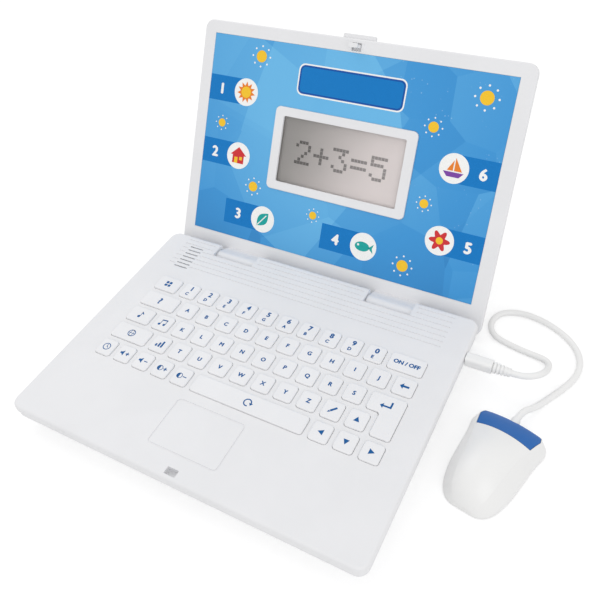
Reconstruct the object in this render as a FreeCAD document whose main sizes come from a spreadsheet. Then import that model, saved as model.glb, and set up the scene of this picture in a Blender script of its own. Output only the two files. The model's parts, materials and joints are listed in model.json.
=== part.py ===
"""Toy laptop computer with a corded mouse, as separate pieces in millimetres, +Z up.

The origin lies on the table, under the middle of the base. +X is the user's right and +Y is the
back, where the lid is hinged. The lid stands open, and the mouse lies on the right, plugged in.
"""
import FreeCAD, Part
import math
import os
import re
import Sketcher

SIZES = {
    # Fits: pressed or threaded pieces, pieces laid on each other, and how far a cutter passes a face
    "fit_gap": 0.02,
    "seat_gap": 0.05,
    "cut_over": 1.0,
    # Base shells
    "base_width": 290.0,
    "base_depth": 213.0,
    "deck_top": 26.0,
    "deck_rim": 5.7,
    "rim_height": 11.5,
    "base_corner": 8.0,
    "deck_edge": 2.0,
    "rim_step": 0.8,
    "tray_taper": 10.0,
    "wall": 2.2,
    "tray_base": 2.4,
    "foot_height": 1.5,
    "foot_radius": 6.0,
    "foot_inset": 26.0,
    "foot_edge": 0.5,
    # Keyboard
    "side_margin": 24.2,
    "keyboard_shift": 2.6,
    "back_margin": 54.4,
    "front_margin": 66.2,
    "key_gap": 4.45,
    "row_gap": 4.1,
    "activity_width": 21.6,
    "help_width": 33.1,
    "delete_width": 15.55,
    "music_width": 21.8,
    "note_width": 15.2,
    "language_width": 33.3,
    "level_width": 14.8,
    "small_key_width": 13.8,
    "key_proud": 1.4,
    "key_corner": 2.4,
    "key_edge": 0.8,
    "key_clearance": 0.3,
    "key_float": 0.15,
    "lip_width": 0.9,
    "lip_thickness": 1.2,
    # Rubber mat and main board under the keys
    "dome_height": 3.2,
    "dome_radius": 4.0,
    "dome_top_radius": 2.6,
    "mat_thickness": 0.8,
    "board_thickness": 1.6,
    "board_overhang": 7.0,
    "post_radius": 2.4,
    "post_offset": 3.8,
    "chip_size": 16.0,
    "chip_height": 1.8,
    "crystal_length": 10.0,
    "crystal_width": 4.0,
    "crystal_height": 3.0,
    "crystal_offset": 26.0,
    "header_length": 24.0,
    "header_width": 5.0,
    "header_height": 4.0,
    "header_offset": 60.0,
    "header_setback": 8.0,
    # Speaker, grooves, touchpad line and catch slot in the deck
    "speaker_radius": 14.0,
    "speaker_depth": 6.5,
    "speaker_margin": 2.6,
    "speaker_setback": 25.8,
    "speaker_ring": 1.4,
    "speaker_ring_height": 4.0,
    "speaker_room": 0.4,
    "speaker_rim": 1.2,
    "magnet_radius": 7.7,
    "magnet_height": 3.0,
    "basket_radius": 13.3,
    "cone_inner_radius": 4.2,
    "cone_outer_radius": 11.9,
    "cone_depth": 2.5,
    "slot_count": 7,
    "slot_length": 13.4,
    "slot_width": 1.2,
    "slot_pitch": 4.27,
    "groove_count": 7,
    "groove_width": 1.1,
    "groove_depth": 0.5,
    "groove_pitch": 5.2,
    "groove_setback": 5.0,
    "groove_margin": 19.0,
    "groove_lead": 7.0,
    "groove_stop": 1.5,
    "pad_width": 58.0,
    "pad_depth": 40.0,
    "pad_setback": 37.7,
    "pad_corner": 3.5,
    "pad_line": 1.0,
    "pad_line_depth": 0.4,
    "catch_width": 9.0,
    "catch_depth": 5.5,
    "catch_setback": 5.7,
    "pocket_wall": 1.2,
    "pocket_floor": 0.8,
    # Screws
    "screw_radius": 1.45,
    "screw_head_radius": 2.7,
    "screw_head_height": 1.8,
    "screw_sunk": 0.9,
    "screw_clearance": 0.15,
    "boss_radius": 3.6,
    "boss_meet": 12.0,
    "boss_inset": 15.0,
    "thread_end": 0.8,
    "screw_tip": 0.2,
    "small_screw_radius": 0.9,
    "small_head_radius": 1.8,
    "small_head_height": 1.2,
    "small_screw_length": 4.0,
    # Batteries and their door
    "cell_radius": 7.1,
    "cell_length": 49.2,
    "cell_gap": 0.9,
    "cell_nub_radius": 2.6,
    "cell_nub_height": 1.1,
    "cell_count": 3,
    "contact_thickness": 0.4,
    "contact_width": 9.0,
    "contact_room": 2.2,
    "battery_wall": 1.6,
    "battery_gap": 0.25,
    "cell_rise": 0.4,
    "door_lap": 2.0,
    "door_gap": 0.25,
    "tongue_width": 1.6,
    "tongue_thickness": 0.8,
    "tongue_play": 0.15,
    "grip_count": 3,
    "grip_length": 22.0,
    "grip_width": 1.2,
    "grip_depth": 0.5,
    "grip_pitch": 3.0,
    "grip_setback": 8.0,
    # Hinge
    "hinge_inset": 7.0,
    "hinge_drop": 9.4,
    "hinge_margin": 72.0,
    "knuckle_width": 39.0,
    "knuckle_radius": 7.2,
    "knuckle_gap": 0.6,
    "notch_gap": 0.3,
    "arm_low": 2.0,
    "arm_sunk": 0.5,
    "pin_radius": 2.0,
    "pin_clearance": 0.05,
    "lid_angle": 119.4,
    "closed_gap": 4.0,
    # Lid
    "lid_side_gap": 0.65,
    "lid_front_gap": 1.0,
    "lid_tail": 6.5,
    "lid_thickness": 10.0,
    "lid_front_depth": 3.6,
    "lid_corner": 8.0,
    "lid_edge": 1.2,
    "lid_round": 5.5,
    "bezel_wall": 2.4,
    "panel_side": 11.65,
    "panel_low": 18.6,
    "panel_top": 11.0,
    "panel_recess": 0.8,
    "panel_thickness": 0.7,
    "panel_gap": 0.2,
    "lid_boss_inset": 9.0,
    "lid_boss_sunk": 0.2,
    # Display
    "screen_lift": 0.1,
    "screen_shift": 1.5,
    "frame_width": 128.6,
    "frame_height": 71.4,
    "frame_corner": 4.5,
    "frame_proud": 1.2,
    "frame_edge": 0.9,
    "view_width": 111.6,
    "view_height": 56.5,
    "view_corner": 1.6,
    "window_lap": 2.9,
    "window_thickness": 1.0,
    "window_gap": 0.3,
    "glass_lap": 6.0,
    "glass_thickness": 2.2,
    "display_board_lap": 3.0,
    "display_board_thickness": 1.2,
    # Latch in the lid's top edge
    "latch_shift": 1.5,
    "tab_width": 28.0,
    "tab_reach": 3.4,
    "tab_thickness": 3.4,
    "tab_sunk": 10.0,
    "latch_gap": 0.35,
    "latch_travel": 2.0,
    "latch_plate_width": 20.0,
    "latch_plate_lap": 4.0,
    "hook_width": 7.4,
    "hook_depth": 2.4,
    "hook_setback": 7.0,
    "barb_depth": 1.1,
    "barb_height": 1.6,
    "hook_play": 0.5,
    # Mouse socket, plug and cord
    "plug_setback": 35.0,
    "plug_drop": 5.0,
    "plug_width": 9.2,
    "plug_height": 8.6,
    "plug_corner": 2.4,
    "plug_edge": 0.8,
    "plug_body": 20.0,
    "plug_gap": 0.3,
    "plug_pin_radius": 1.75,
    "plug_pin_length": 12.5,
    "collar_radius": 3.0,
    "socket_depth": 15.0,
    "socket_width": 11.0,
    "socket_drop": 5.0,
    "socket_gap": 0.1,
    "rib_count": 5,
    "rib_width": 1.6,
    "rib_pitch": 2.6,
    "rib_radius": 4.3,
    "rib_taper": 0.24,
    "relief_core": 3.0,
    "cord_radius": 2.4,
    "plug_lead": 6.4,
    "mouse_lead": 9.0,
    # Mouse
    "mouse_aside": 39.5,
    "mouse_setback": 103.0,
    "mouse_heading": 10.0,
    "mouse_length": 73.0,
    "mouse_width": 53.6,
    "mouse_height": 24.5,
    "mouse_wall": 1.6,
    "mouse_seam": 6.0,
    "click_gap": 0.3,
    "click_travel": 0.8,
    "button_length": 18.0,
    "button_margin": 0.5,
    "mouse_relief_radius": 3.6,
    "mouse_relief_tip": 3.2,
    "mouse_relief_length": 8.0,
    "mouse_relief_sunk": 4.0,
    "mouse_relief_height": 8.0,
    "mouse_pad_height": 0.5,
    "mouse_pad_radius": 4.0,
    "mouse_pad_front": 24.8,
    "mouse_pad_rear": 26.3,
    "mouse_pad_front_spread": 16.0,
    "mouse_pad_rear_spread": 12.0,
    "mouse_board_width": 28.0,
    "mouse_board_length": 42.0,
    "mouse_board_thickness": 1.4,
    "mouse_board_rise": 3.0,
    "sensor_ahead": 4.0,
    "sensor_width": 10.0,
    "sensor_length": 12.0,
    "sensor_height": 0.9,
    "lens_size": 8.0,
    "lens_height": 1.9,
    "lens_rise": 0.6,
    "lens_gap": 0.1,
    "mouse_post_gap": 0.3,
    "mouse_screw_behind": 18.25,
    "mouse_screw_sunk": 0.2,
    "mouse_thread": 3.5,
}

PLACES = {
    "half_width": "base_width / 2",
    "back_edge": "base_depth / 2",
    "parting": "deck_top - deck_rim",
    "rim_low": "deck_top - rim_height",
    "deck_under": "deck_top - wall",
    "tray_inside": "foot_height + tray_base",
    "cavity_corner": "base_corner - wall",
    # Every row is as wide as the keyboard, so the plain keys take the width that the wide ones leave
    "keyboard_width": "base_width - 2 * side_margin",
    "keyboard_left": "keyboard_shift - keyboard_width / 2",
    "key_width": "(keyboard_width - help_width - delete_width - 11 * key_gap) / 10",
    "keyboard_depth": "base_depth - back_margin - front_margin",
    "key_depth": "(keyboard_depth - 4 * row_gap) / 5",
    "row_pitch": "key_depth + row_gap",
    "first_row": "back_edge - back_margin - key_depth",
    "power_width": "help_width + delete_width - activity_width",
    "enter_width": "help_width + delete_width + key_width - music_width - note_width",
    "enter_low_width": "help_width + delete_width + key_width - language_width - level_width",
    "repeat_width": "keyboard_width - 5 * small_key_width - 3 * key_width - 8 * key_gap",
    "window_corner": "key_corner + key_clearance",
    "pad_inner_corner": "pad_corner - pad_line",
    "lip_low": "deck_under - key_float - lip_thickness",
    "mat_top": "lip_low - dome_height",
    "board_top": "mat_top - mat_thickness",
    "board_low": "board_top - board_thickness",
    "board_left": "keyboard_left - board_overhang",
    "board_width": "keyboard_width + 2 * board_overhang",
    "board_front": "first_row - 4 * row_pitch",
    "board_depth": "5 * key_depth + 4 * row_gap",
    # Hinge and lid, the latter in its own frame: origin on the hinge, Y up the lid, Z out of the screen
    "hinge_y": "back_edge - hinge_inset",
    "hinge_z": "deck_top - hinge_drop",
    "hinge_x": "half_width - hinge_margin",
    "well_width": "knuckle_width + 2 * knuckle_gap",
    "well_outside": "well_width + 2 * wall",
    "well_front": "hinge_y - knuckle_radius - knuckle_gap",
    "well_low": "hinge_z - knuckle_radius - knuckle_gap",
    "lid_width": "base_width - 2 * lid_side_gap",
    "lid_reach": "base_depth - hinge_inset - lid_front_gap",
    "lid_face": "0 - hinge_drop - closed_gap",
    "lid_seam": "lid_face - lid_front_depth",
    "lid_rear": "lid_face - lid_thickness",
    "lid_length": "lid_tail + lid_reach",
    "lid_inner_corner": "lid_corner - wall",
    "panel_width": "lid_width - 2 * panel_side",
    "panel_height": "lid_reach - panel_low - panel_top",
    "panel_middle": "panel_low + panel_height / 2",
    "screen_middle": "panel_middle + screen_lift",
    "recess_face": "lid_face - panel_recess",
    "bezel_back": "lid_face - bezel_wall",
    "latch_top": "bezel_back - latch_gap",
    "latch_low": "latch_top - tab_thickness",
    "hook_low": "lid_reach - hook_setback",
    "hook_tip": "lid_face + closed_gap + wall + hook_play + barb_height",
    # Speaker beside the left hinge
    "speaker_x": "0 - hinge_x - well_outside / 2 - speaker_margin - speaker_radius",
    "speaker_y": "back_edge - speaker_setback",
    # Battery box behind the latch's pocket in the front wall
    "pocket_back": "catch_setback + catch_depth / 2 + pocket_wall - back_edge",
    "battery_length": "cell_length + cell_nub_height + 2 * contact_room",
    "battery_depth": "cell_count * (2 * cell_radius + cell_gap) + cell_gap",
    "battery_front": "pocket_back + battery_gap + battery_wall",
    "cell_low": "tray_inside + cell_rise",
    "battery_roof": "cell_low + 2 * cell_radius + cell_gap",
    # Plug
    "plug_y": "back_edge - plug_setback",
    "plug_z": "deck_top - plug_drop",
    "plug_start": "half_width + plug_gap",
    "plug_end": "plug_start + plug_body",
    "relief_end": "plug_end + rib_count * rib_pitch",
    # Mouse, in its own frame: origin on the table under its middle, Y to its front
    "mouse_x": "half_width + mouse_aside",
    "mouse_y": "back_edge - mouse_setback",
    "button_edge": "mouse_length / 2 - button_length",
    "relief_start": "mouse_length / 2 - mouse_relief_sunk",
    "relief_tip": "relief_start + mouse_relief_length",
    "mouse_floor": "mouse_pad_height + mouse_wall",
    "mouse_screw_y": "0 - mouse_screw_behind",
    "mouse_screw_low": "mouse_pad_height + mouse_screw_sunk",
    "mouse_screw_seat": "mouse_screw_low + small_head_height",
}

# The mouse's sections from its tail to its nose, each as shares: its place along the half length, its
# half width and its height of the largest ones, and its shoulders' spread of its own half width
MOUSE_SECTIONS = (
    (-1.0, 0.26, 0.2, 0.64),
    (-0.94, 0.5, 0.41, 0.64),
    (-0.82, 0.65, 0.63, 0.65),
    (-0.6, 0.77, 0.86, 0.655),
    (-0.2, 0.86, 1.0, 0.66),
    (0.2, 0.9, 0.98, 0.72),
    (0.55, 0.95, 0.84, 0.79),
    (0.82, 0.99, 0.66, 0.84),
    (0.95, 0.91, 0.53, 0.86),
    (1.0, 0.75, 0.42, 0.88),
)
# A section's shoulders stand at this share of its height, and its skirts at this share of theirs
SHOULDER_HEIGHT = 0.76
SKIRT_HEIGHT = 0.25

# Corners of the mouse cord's route between its straight ends at the plug and the mouse, each (x, y, z)
# from the table under the base's right back corner
CORD_ROUTE = [
    (45.8, -32.6, 20.5),
    (50.6, -28.3, 19.0),
    (53.5, -22.8, 16.3),
    (54.8, -15.4, 11.4),
    (54.9, -7.1, 5.8),
    (54.3, -1.2, 2.9),
    (50.5, 2.6, 2.4),
    (41.4, 3.4, 2.4),
    (26.4, 5.4, 2.4),
    (12.0, 9.1, 2.4),
    (6.4, 13.7, 2.4),
    (3.2, 20.2, 2.4),
    (3.0, 27.5, 2.4),
    (5.8, 34.2, 2.4),
    (11.1, 39.1, 2.4),
    (21.6, 42.5, 2.4),
    (35.0, 41.7, 2.4),
    (48.6, 37.3, 2.4),
    (61.4, 29.9, 2.4),
    (71.0, 19.5, 2.4),
    (75.6, 6.5, 2.4),
    (74.2, -7.5, 2.4),
    (67.8, -21.1, 2.4),
    (60.6, -33.7, 2.4),
    (55.0, -44.7, 4.0),
]

# An axis is kept only by a turn that isn't zero, so a node turned by a size starts from this one
FIRST_TURN = 30

doc = FreeCAD.newDocument("toy_laptop")
sizes = doc.addObject("Spreadsheet::Sheet", "sizes")
places = doc.addObject("Spreadsheet::Sheet", "places")
nodes = []


def formula(text):
    """Write the size words of a formula as references to the two sheets."""

    def reference(match):
        word = match.group()
        if word in SIZES:
            return "sizes." + word
        if word in PLACES:
            return "places." + word
        return word

    return re.sub(r"[a-z_]+", reference, str(text))


def fill_sheets():
    """Put the driving sizes into one sheet and what follows from them into the other."""
    for row, (alias, amount) in enumerate(SIZES.items(), start=1):
        sizes.set(f"A{row}", alias.replace("_", " "))
        sizes.set(f"B{row}", str(amount))
        sizes.setAlias(f"B{row}", alias)
    doc.recompute()
    for row, alias in enumerate(PLACES, start=1):
        places.set(f"A{row}", alias.replace("_", " "))
        places.setAlias(f"B{row}", alias)
    for row, text in enumerate(PLACES.values(), start=1):
        places.set(f"B{row}", "=" + formula(text))
    doc.recompute()


def number(word):
    """Read one named size as a number."""
    sheet = places if word in PLACES else sizes
    return float(getattr(sheet, word))


def bind(item, formulas):
    """Bind properties of an object to formulas."""
    for name, text in formulas.items():
        item.setExpression(name, formula(text))


def place(item, corner):
    """Bind an object's position."""
    x, y, z = corner
    bind(item, {"Placement.Base.x": x, "Placement.Base.y": y, "Placement.Base.z": z})


def box(name, size, corner):
    """Make a box from its three sizes and its lowest corner."""
    item = doc.addObject("Part::Box", name)
    length, width, height = size
    bind(item, {"Length": length, "Width": width, "Height": height})
    place(item, corner)
    return item


def block(name, size, middle):
    """Make a box centred on X and Y, standing on its height."""
    length, width, _ = size
    x, y, z = middle
    return box(name, size, (f"({x}) - ({length}) / 2", f"({y}) - ({width}) / 2", z))


def rod(name, radius, length, start, axis=(0, 0, 1)):
    """Make a cylinder from the middle of its first end, along an axis."""
    item = doc.addObject("Part::Cylinder", name)
    item.Placement.Rotation = FreeCAD.Rotation(FreeCAD.Vector(0, 0, 1), FreeCAD.Vector(*axis))
    bind(item, {"Radius": radius, "Height": length})
    place(item, start)
    return item


def cone(name, radius_first, radius_last, length, start, axis=(0, 0, 1)):
    """Make a cone frustum from the middle of its first end, along an axis."""
    item = doc.addObject("Part::Cone", name)
    item.Placement.Rotation = FreeCAD.Rotation(FreeCAD.Vector(0, 0, 1), FreeCAD.Vector(*axis))
    bind(item, {"Radius1": radius_first, "Radius2": radius_last, "Height": length})
    place(item, start)
    return item


def rounded(name, base, upright=None, top=None, bottom=None):
    """Round a solid's upright edges and the edges of its top or bottom, by named radii."""
    doc.recompute()
    extent = base.Shape.BoundBox
    edges = []
    for index, edge in enumerate(base.Shape.Edges, start=1):
        heights = [vertex.Z for vertex in edge.Vertexes]
        low, high = min(heights), max(heights)
        radius = None
        if high - low > 1e-4:
            radius = upright
        elif abs(low - extent.ZMax) < 1e-4:
            radius = top
        elif abs(low - extent.ZMin) < 1e-4:
            radius = bottom
        if radius:
            edges.append((index, number(radius), number(radius)))
    item = doc.addObject("Part::Fillet", name)
    item.Base = base
    item.Edges = edges
    return item


def fuse(name, items):
    """Join touching solids into one."""
    item = doc.addObject("Part::MultiFuse", name)
    item.Shapes = items
    item.Refine = True
    return item


def cut(name, base, tools):
    """Cut tools out of a solid."""
    item = doc.addObject("Part::Cut", name)
    item.Base = base
    item.Tool = tools[0] if len(tools) == 1 else fuse(name + "_tools", tools)
    item.Refine = True
    return item


def common(name, base, tool):
    """Keep what two solids share."""
    item = doc.addObject("Part::Common", name)
    item.Base = base
    item.Tool = tool
    return item


def solid(name, shape):
    """Hold a shape worked out in code."""
    item = doc.addObject("Part::Feature", name)
    item.Shape = shape
    return item


def node(label, items):
    """Name a finished piece, or a group of alike pieces, in the base's frame."""
    item = doc.addObject("Part::Compound", label)
    item.Label = label
    item.Links = items
    nodes.append((item, len(items)))
    return item


def lid_node(label, items):
    """Name a piece of the lid and swing it about the hinge to where the lid stands."""
    item = node(label, items)
    item.Placement.Rotation = FreeCAD.Rotation(FreeCAD.Vector(1, 0, 0), FIRST_TURN)
    place(item, ("0", "hinge_y", "hinge_z"))
    bind(item, {"Placement.Rotation.Angle": "180 - lid_angle"})


def mouse_node(label, items):
    """Name a piece of the mouse and put it where the mouse lies."""
    item = node(label, items)
    item.Placement.Rotation = FreeCAD.Rotation(FreeCAD.Vector(0, 0, -1), FIRST_TURN)
    place(item, ("mouse_x", "mouse_y", "0"))
    bind(item, {"Placement.Rotation.Angle": "mouse_heading"})


def outline(name, inset, radius, height):
    """Sketch the base's rounded outline, drawn in by an inset, at a height."""
    sketch = doc.addObject("Sketcher::SketchObject", name)
    wide = number("base_width") / 2
    deep = number("base_depth") / 2
    bend = number(radius)
    corners = ((wide, deep, 0), (-wide, deep, 90), (-wide, -deep, 180), (wide, -deep, 270))
    middles = [
        FreeCAD.Vector(math.copysign(abs(x) - bend, x), math.copysign(abs(y) - bend, y), 0)
        for x, y, _ in corners
    ]
    ends = []
    for middle, (_, _, start) in zip(middles, corners):
        low, high = math.radians(start), math.radians(start + 90)
        circle = Part.Circle(middle, FreeCAD.Vector(0, 0, 1), bend)
        sketch.addGeometry(Part.ArcOfCircle(circle, low, high), False)
        turn = FreeCAD.Vector(bend * math.cos(low), bend * math.sin(low), 0)
        leave = FreeCAD.Vector(bend * math.cos(high), bend * math.sin(high), 0)
        ends.append((middle + turn, middle + leave))
    for index in range(4):
        sketch.addGeometry(Part.LineSegment(ends[index][1], ends[(index + 1) % 4][0]), False)
    for index in range(4):
        sketch.addConstraint(Sketcher.Constraint("Tangent", index, 2, 4 + index, 1))
        sketch.addConstraint(Sketcher.Constraint("Tangent", 4 + index, 2, (index + 1) % 4, 1))
    for index in range(1, 4):
        sketch.addConstraint(Sketcher.Constraint("Equal", 0, index))
    for index in (4, 6):
        sketch.addConstraint(Sketcher.Constraint("Horizontal", index))
        sketch.addConstraint(Sketcher.Constraint("Vertical", index + 1))
    sketch.addConstraint(Sketcher.Constraint("Symmetric", 0, 3, 2, 3, -1, 1))
    named = (
        ("radius", Sketcher.Constraint("Radius", 0, bend), radius),
        ("wide", Sketcher.Constraint("DistanceX", 1, 3, 0, 3, 2 * (wide - bend)),
         f"base_width - 2 * ({inset}) - 2 * {radius}"),
        ("deep", Sketcher.Constraint("DistanceY", 3, 3, 0, 3, 2 * (deep - bend)),
         f"base_depth - 2 * ({inset}) - 2 * {radius}"),
    )
    for label, constraint, text in named:
        place_in_sketch = sketch.addConstraint(constraint)
        sketch.renameConstraint(place_in_sketch, label)
        sketch.setExpression("Constraints." + label, formula(text))
    place(sketch, ("0", "0", height))
    return sketch


def loft(name, sections):
    """Join outlines with straight walls into a solid."""
    item = doc.addObject("Part::Loft", name)
    item.Sections = sections
    item.Solid = True
    item.Ruled = True
    return item


def screw_joint(name, spots, low, meet, high, thread_top):
    """Make the bosses, holes and screws that join a lower shell to an upper one.

    Each spot is an (x, y) pair of formulas. The screws go up from the face at low, the bosses
    meet at meet and the upper ones end at high, and the threads end at thread_top.
    """
    seat = f"({low}) + screw_sunk + screw_head_height"
    made = {"low": [], "high": [], "low_holes": [], "high_holes": [], "screws": []}
    for index, (x, y) in enumerate(spots):
        tag = f"{name}_{index}"
        made["low"].append(rod(tag + "_low", "boss_radius", f"({meet}) - ({low})", (x, y, low)))
        made["high"].append(rod(tag + "_high", "boss_radius", f"({high}) - ({meet})", (x, y, meet)))
        made["low_holes"] += [
            rod(tag + "_sink", "screw_head_radius + screw_clearance",
                f"{seat} - ({low}) + cut_over", (x, y, f"({low}) - cut_over")),
            rod(tag + "_way", "screw_radius + screw_clearance", f"({meet}) - ({low}) + cut_over",
                (x, y, low)),
        ]
        made["high_holes"].append(
            rod(tag + "_thread", "screw_radius + fit_gap",
                f"({thread_top}) - ({meet}) + cut_over + screw_tip", (x, y, f"({meet}) - cut_over")))
        head = rod(tag + "_head", "screw_head_radius", "screw_head_height",
                   (x, y, f"({low}) + screw_sunk"))
        shank = rod(tag + "_shank", "screw_radius", f"({thread_top}) - ({seat})", (x, y, seat))
        made["screws"].append(fuse(tag + "_screw", [head, shank]))
    return made


def key_rows():
    """List every key as (node, index, left, front, width), row by row from the back."""
    rows = (
        (("activity_key", "activity_width"), ("digit_keys", 10), ("power_key", "power_width")),
        (("help_key", "help_width"), ("letter_keys_back", 10), ("delete_key", "delete_width")),
        (("music_key", "music_width"), ("note_key", "note_width"), ("letter_keys_middle", 9),
         ("enter_key", "enter_width")),
        (("language_key", "language_width"), ("level_key", "level_width"), ("letter_keys_front", 7),
         ("write_key", "key_width"), ("up_key", "key_width")),
        (("clock_key", "small_key_width"), ("louder_key", "small_key_width"),
         ("quieter_key", "small_key_width"), ("contrast_up_key", "small_key_width"),
         ("contrast_down_key", "small_key_width"), ("repeat_key", "repeat_width"),
         ("left_key", "key_width"), ("down_key", "key_width"), ("right_key", "key_width")),
    )
    keys = []
    for row, entries in enumerate(rows):
        left = "keyboard_left"
        front = f"first_row - {row} * row_pitch"
        for label, width in entries:
            count, width = (width, "key_width") if isinstance(width, int) else (1, width)
            for index in range(count):
                keys.append((label, index, left, front, width))
                left = f"{left} + {width} + key_gap"
    return keys


def key_outline(name, keyed, grow, corner, low, high, top=None):
    """Make a key-shaped block, grown all round, from one height to another.

    The Enter key reaches into the row in front of it, over the narrower width left there.
    """
    label, _, left, front, width = keyed
    height = f"({high}) - ({low})"
    depth = f"key_depth + 2 * ({grow})"
    body = box(name + "_body", (f"{width} + 2 * ({grow})", depth, height),
               (f"{left} - ({grow})", f"{front} - ({grow})", low))
    if label == "enter_key":
        leg_left = f"keyboard_left + keyboard_width - enter_low_width - ({grow})"
        leg = box(name + "_leg", (f"enter_low_width + 2 * ({grow})", f"row_pitch + {depth}", height),
                  (leg_left, f"{front} - row_pitch - ({grow})", low))
        body = fuse(name + "_bent", [body, leg])
    return rounded(name, body, upright=corner, top=top)


def build_keys():
    """Make the keys and, for the deck, the windows that they pass through."""
    groups, windows, domes = {}, [], []
    for keyed in key_rows():
        label, index, left, front, width = keyed
        tag = f"{label}_{index}"
        cap = key_outline(tag + "_cap", keyed, "0", "key_corner", "lip_low + lip_thickness / 2",
                          "deck_top + key_proud", top="key_edge")
        lip = key_outline(tag + "_lip", keyed, "key_clearance + lip_width", "window_corner", "lip_low",
                          "lip_low + lip_thickness")
        groups.setdefault(label, []).append(fuse(tag, [cap, lip]))
        windows.append(key_outline(tag + "_window", keyed, "key_clearance", "window_corner",
                                   "deck_under - cut_over", "deck_top + cut_over"))
        domes.append(cone(tag + "_dome", "dome_radius", "dome_top_radius", "dome_height",
                          (f"{left} + {width} / 2", f"{front} + key_depth / 2", "mat_top")))
    for label, items in groups.items():
        node(label, items)
    sheet = box("mat_sheet", ("keyboard_width", "board_depth", "mat_thickness"),
                ("keyboard_left", "board_front", "board_top"))
    node("keypad_mat", [fuse("mat_with_domes", [sheet] + domes)])
    return windows


def build_board(posts):
    """Make the main board, with its chip, crystal and connector, and the screws that hold it."""
    plate = box("board_plate", ("board_width", "board_depth", "board_thickness"),
                ("board_left", "board_front", "board_low"))
    holes = [rod(f"board_hole_{i}", "small_screw_radius + screw_clearance",
                 "board_thickness + 2 * cut_over", (x, y, "board_low - cut_over"))
             for i, (x, y) in enumerate(posts)]
    middle = "board_front + board_depth / 2"
    chip = block("board_chip", ("chip_size", "chip_size", "chip_height"),
                 ("0", middle, "board_low - chip_height"))
    crystal = block("board_crystal", ("crystal_length", "crystal_width", "crystal_height"),
                    ("crystal_offset", middle, "board_low - crystal_height"))
    header = block("board_header", ("header_length", "header_width", "header_height"),
                   ("header_offset", "board_front + board_depth - header_setback",
                    "board_low - header_height"))
    drilled = cut("board_drilled", plate, holes)
    node("main_board", [fuse("board", [drilled, chip, crystal, header])])
    screws = []
    for index, (x, y) in enumerate(posts):
        head = rod(f"board_screw_head_{index}", "small_head_radius", "small_head_height",
                   (x, y, "board_low - small_head_height"))
        shank = rod(f"board_screw_shank_{index}", "small_screw_radius", "small_screw_length",
                    (x, y, "board_low"))
        screws.append(fuse(f"board_screw_{index}", [head, shank]))
    node("board_screws", screws)


def groove_tools():
    """Make the cutters of the shallow grooves behind the keyboard.

    They stop short of the speaker's slots and, in the rows beside them, of the hinges.
    """
    slots_left, slots_right = "speaker_x - slot_length / 2", "speaker_x + slot_length / 2"
    well_near, well_far = "hinge_x - well_outside / 2", "hinge_x + well_outside / 2"
    left, right = f"{slots_left} - groove_lead", "half_width - groove_margin"
    by_hinges = [(left, f"0 - ({well_far})"), (f"0 - ({well_near})", well_near), (well_far, right)]
    by_slots = [(left, slots_left), (slots_right, right)]
    tools = []
    for row in range(int(number("groove_count"))):
        back = number("back_edge") - number("groove_setback") - row * number("groove_pitch")
        spans = by_hinges if back > number("well_front") else by_slots
        y = f"back_edge - groove_setback - {row} * groove_pitch - groove_width / 2"
        for index, (start, end) in enumerate(spans):
            first = start if start == left else f"{start} + groove_stop"
            last = end if end == right else f"{end} - groove_stop"
            tools.append(box(f"groove_{row}_{index}",
                             (f"({last}) - ({first})", "groove_width", "groove_depth + cut_over"),
                             (first, y, "deck_top - groove_depth")))
    return tools


def hinge_wells():
    """Make the wells that the lid's knuckles turn in, as (walls, cutters of rooms and pin holes)."""
    walls, cutters = [], []
    for side, sign in (("left", "0 - "), ("right", "")):
        middle = f"{sign}hinge_x"
        walls.append(block(f"well_{side}", ("well_outside", "back_edge - well_front + wall",
                           "deck_under - well_low + wall"),
                           (middle, "(back_edge + well_front - wall) / 2", "well_low - wall")))
        cutters.append(block(f"well_room_{side}", ("well_width", "back_edge - well_front + cut_over",
                             "deck_top - well_low + cut_over"),
                             (middle, "(back_edge + cut_over + well_front) / 2", "well_low")))
        cutters.append(rod(f"pin_hole_{side}", "pin_radius + fit_gap", "well_outside + 2 * cut_over",
                           (f"{middle} - well_outside / 2 - cut_over", "hinge_y", "hinge_z"), (1, 0, 0)))
    return walls, cutters


def speaker_grille():
    """Make the speaker's seat under the deck, as (its ring, cutters of the slots over it)."""
    at = ("speaker_x", "speaker_y")
    inside = "speaker_radius + speaker_room"
    outer = rod("speaker_ring_out", f"{inside} + speaker_ring", "speaker_ring_height",
                (*at, "deck_under - speaker_ring_height"))
    inner = rod("speaker_ring_in", inside, "speaker_ring_height + cut_over",
                (*at, "deck_under - speaker_ring_height - cut_over"))
    slots = [block(f"speaker_slot_{i}", ("slot_length", "slot_width", "wall + 2 * cut_over"),
                   ("speaker_x", f"speaker_y + ((slot_count - 1) / 2 - {i}) * slot_pitch",
                    "deck_under - cut_over"))
             for i in range(int(number("slot_count")))]
    return cut("speaker_wall", outer, [inner]), slots


def touchpad_line():
    """Make the cutter of the line that frames the touchpad."""
    at = ("0", "pad_setback - back_edge")
    outside = block("pad_out_block", ("pad_width", "pad_depth", "pad_line_depth + cut_over"),
                    (*at, "deck_top - pad_line_depth"))
    inside = block("pad_in_block", ("pad_width - 2 * pad_line", "pad_depth - 2 * pad_line",
                   "pad_line_depth + 3 * cut_over"), (*at, "deck_top - pad_line_depth - cut_over"))
    return cut("pad_groove", rounded("pad_out", outside, upright="pad_corner"),
               [rounded("pad_in", inside, upright="pad_inner_corner")])


def catch_pocket():
    """Make the pocket that the latch's hook drops into, as (walls, cutter of its room)."""
    front = "wall / 2 - back_edge"
    walls = box("pocket_walls", ("catch_width + 2 * pocket_wall", f"pocket_back - ({front})",
                "deck_under + wall / 2 - parting"),
                ("latch_shift - catch_width / 2 - pocket_wall", front, "parting"))
    room = block("pocket_room", ("catch_width", "catch_depth",
                 "deck_top + cut_over - parting - pocket_floor"),
                 ("latch_shift", "catch_setback - back_edge", "parting + pocket_floor"))
    return walls, room


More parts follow.
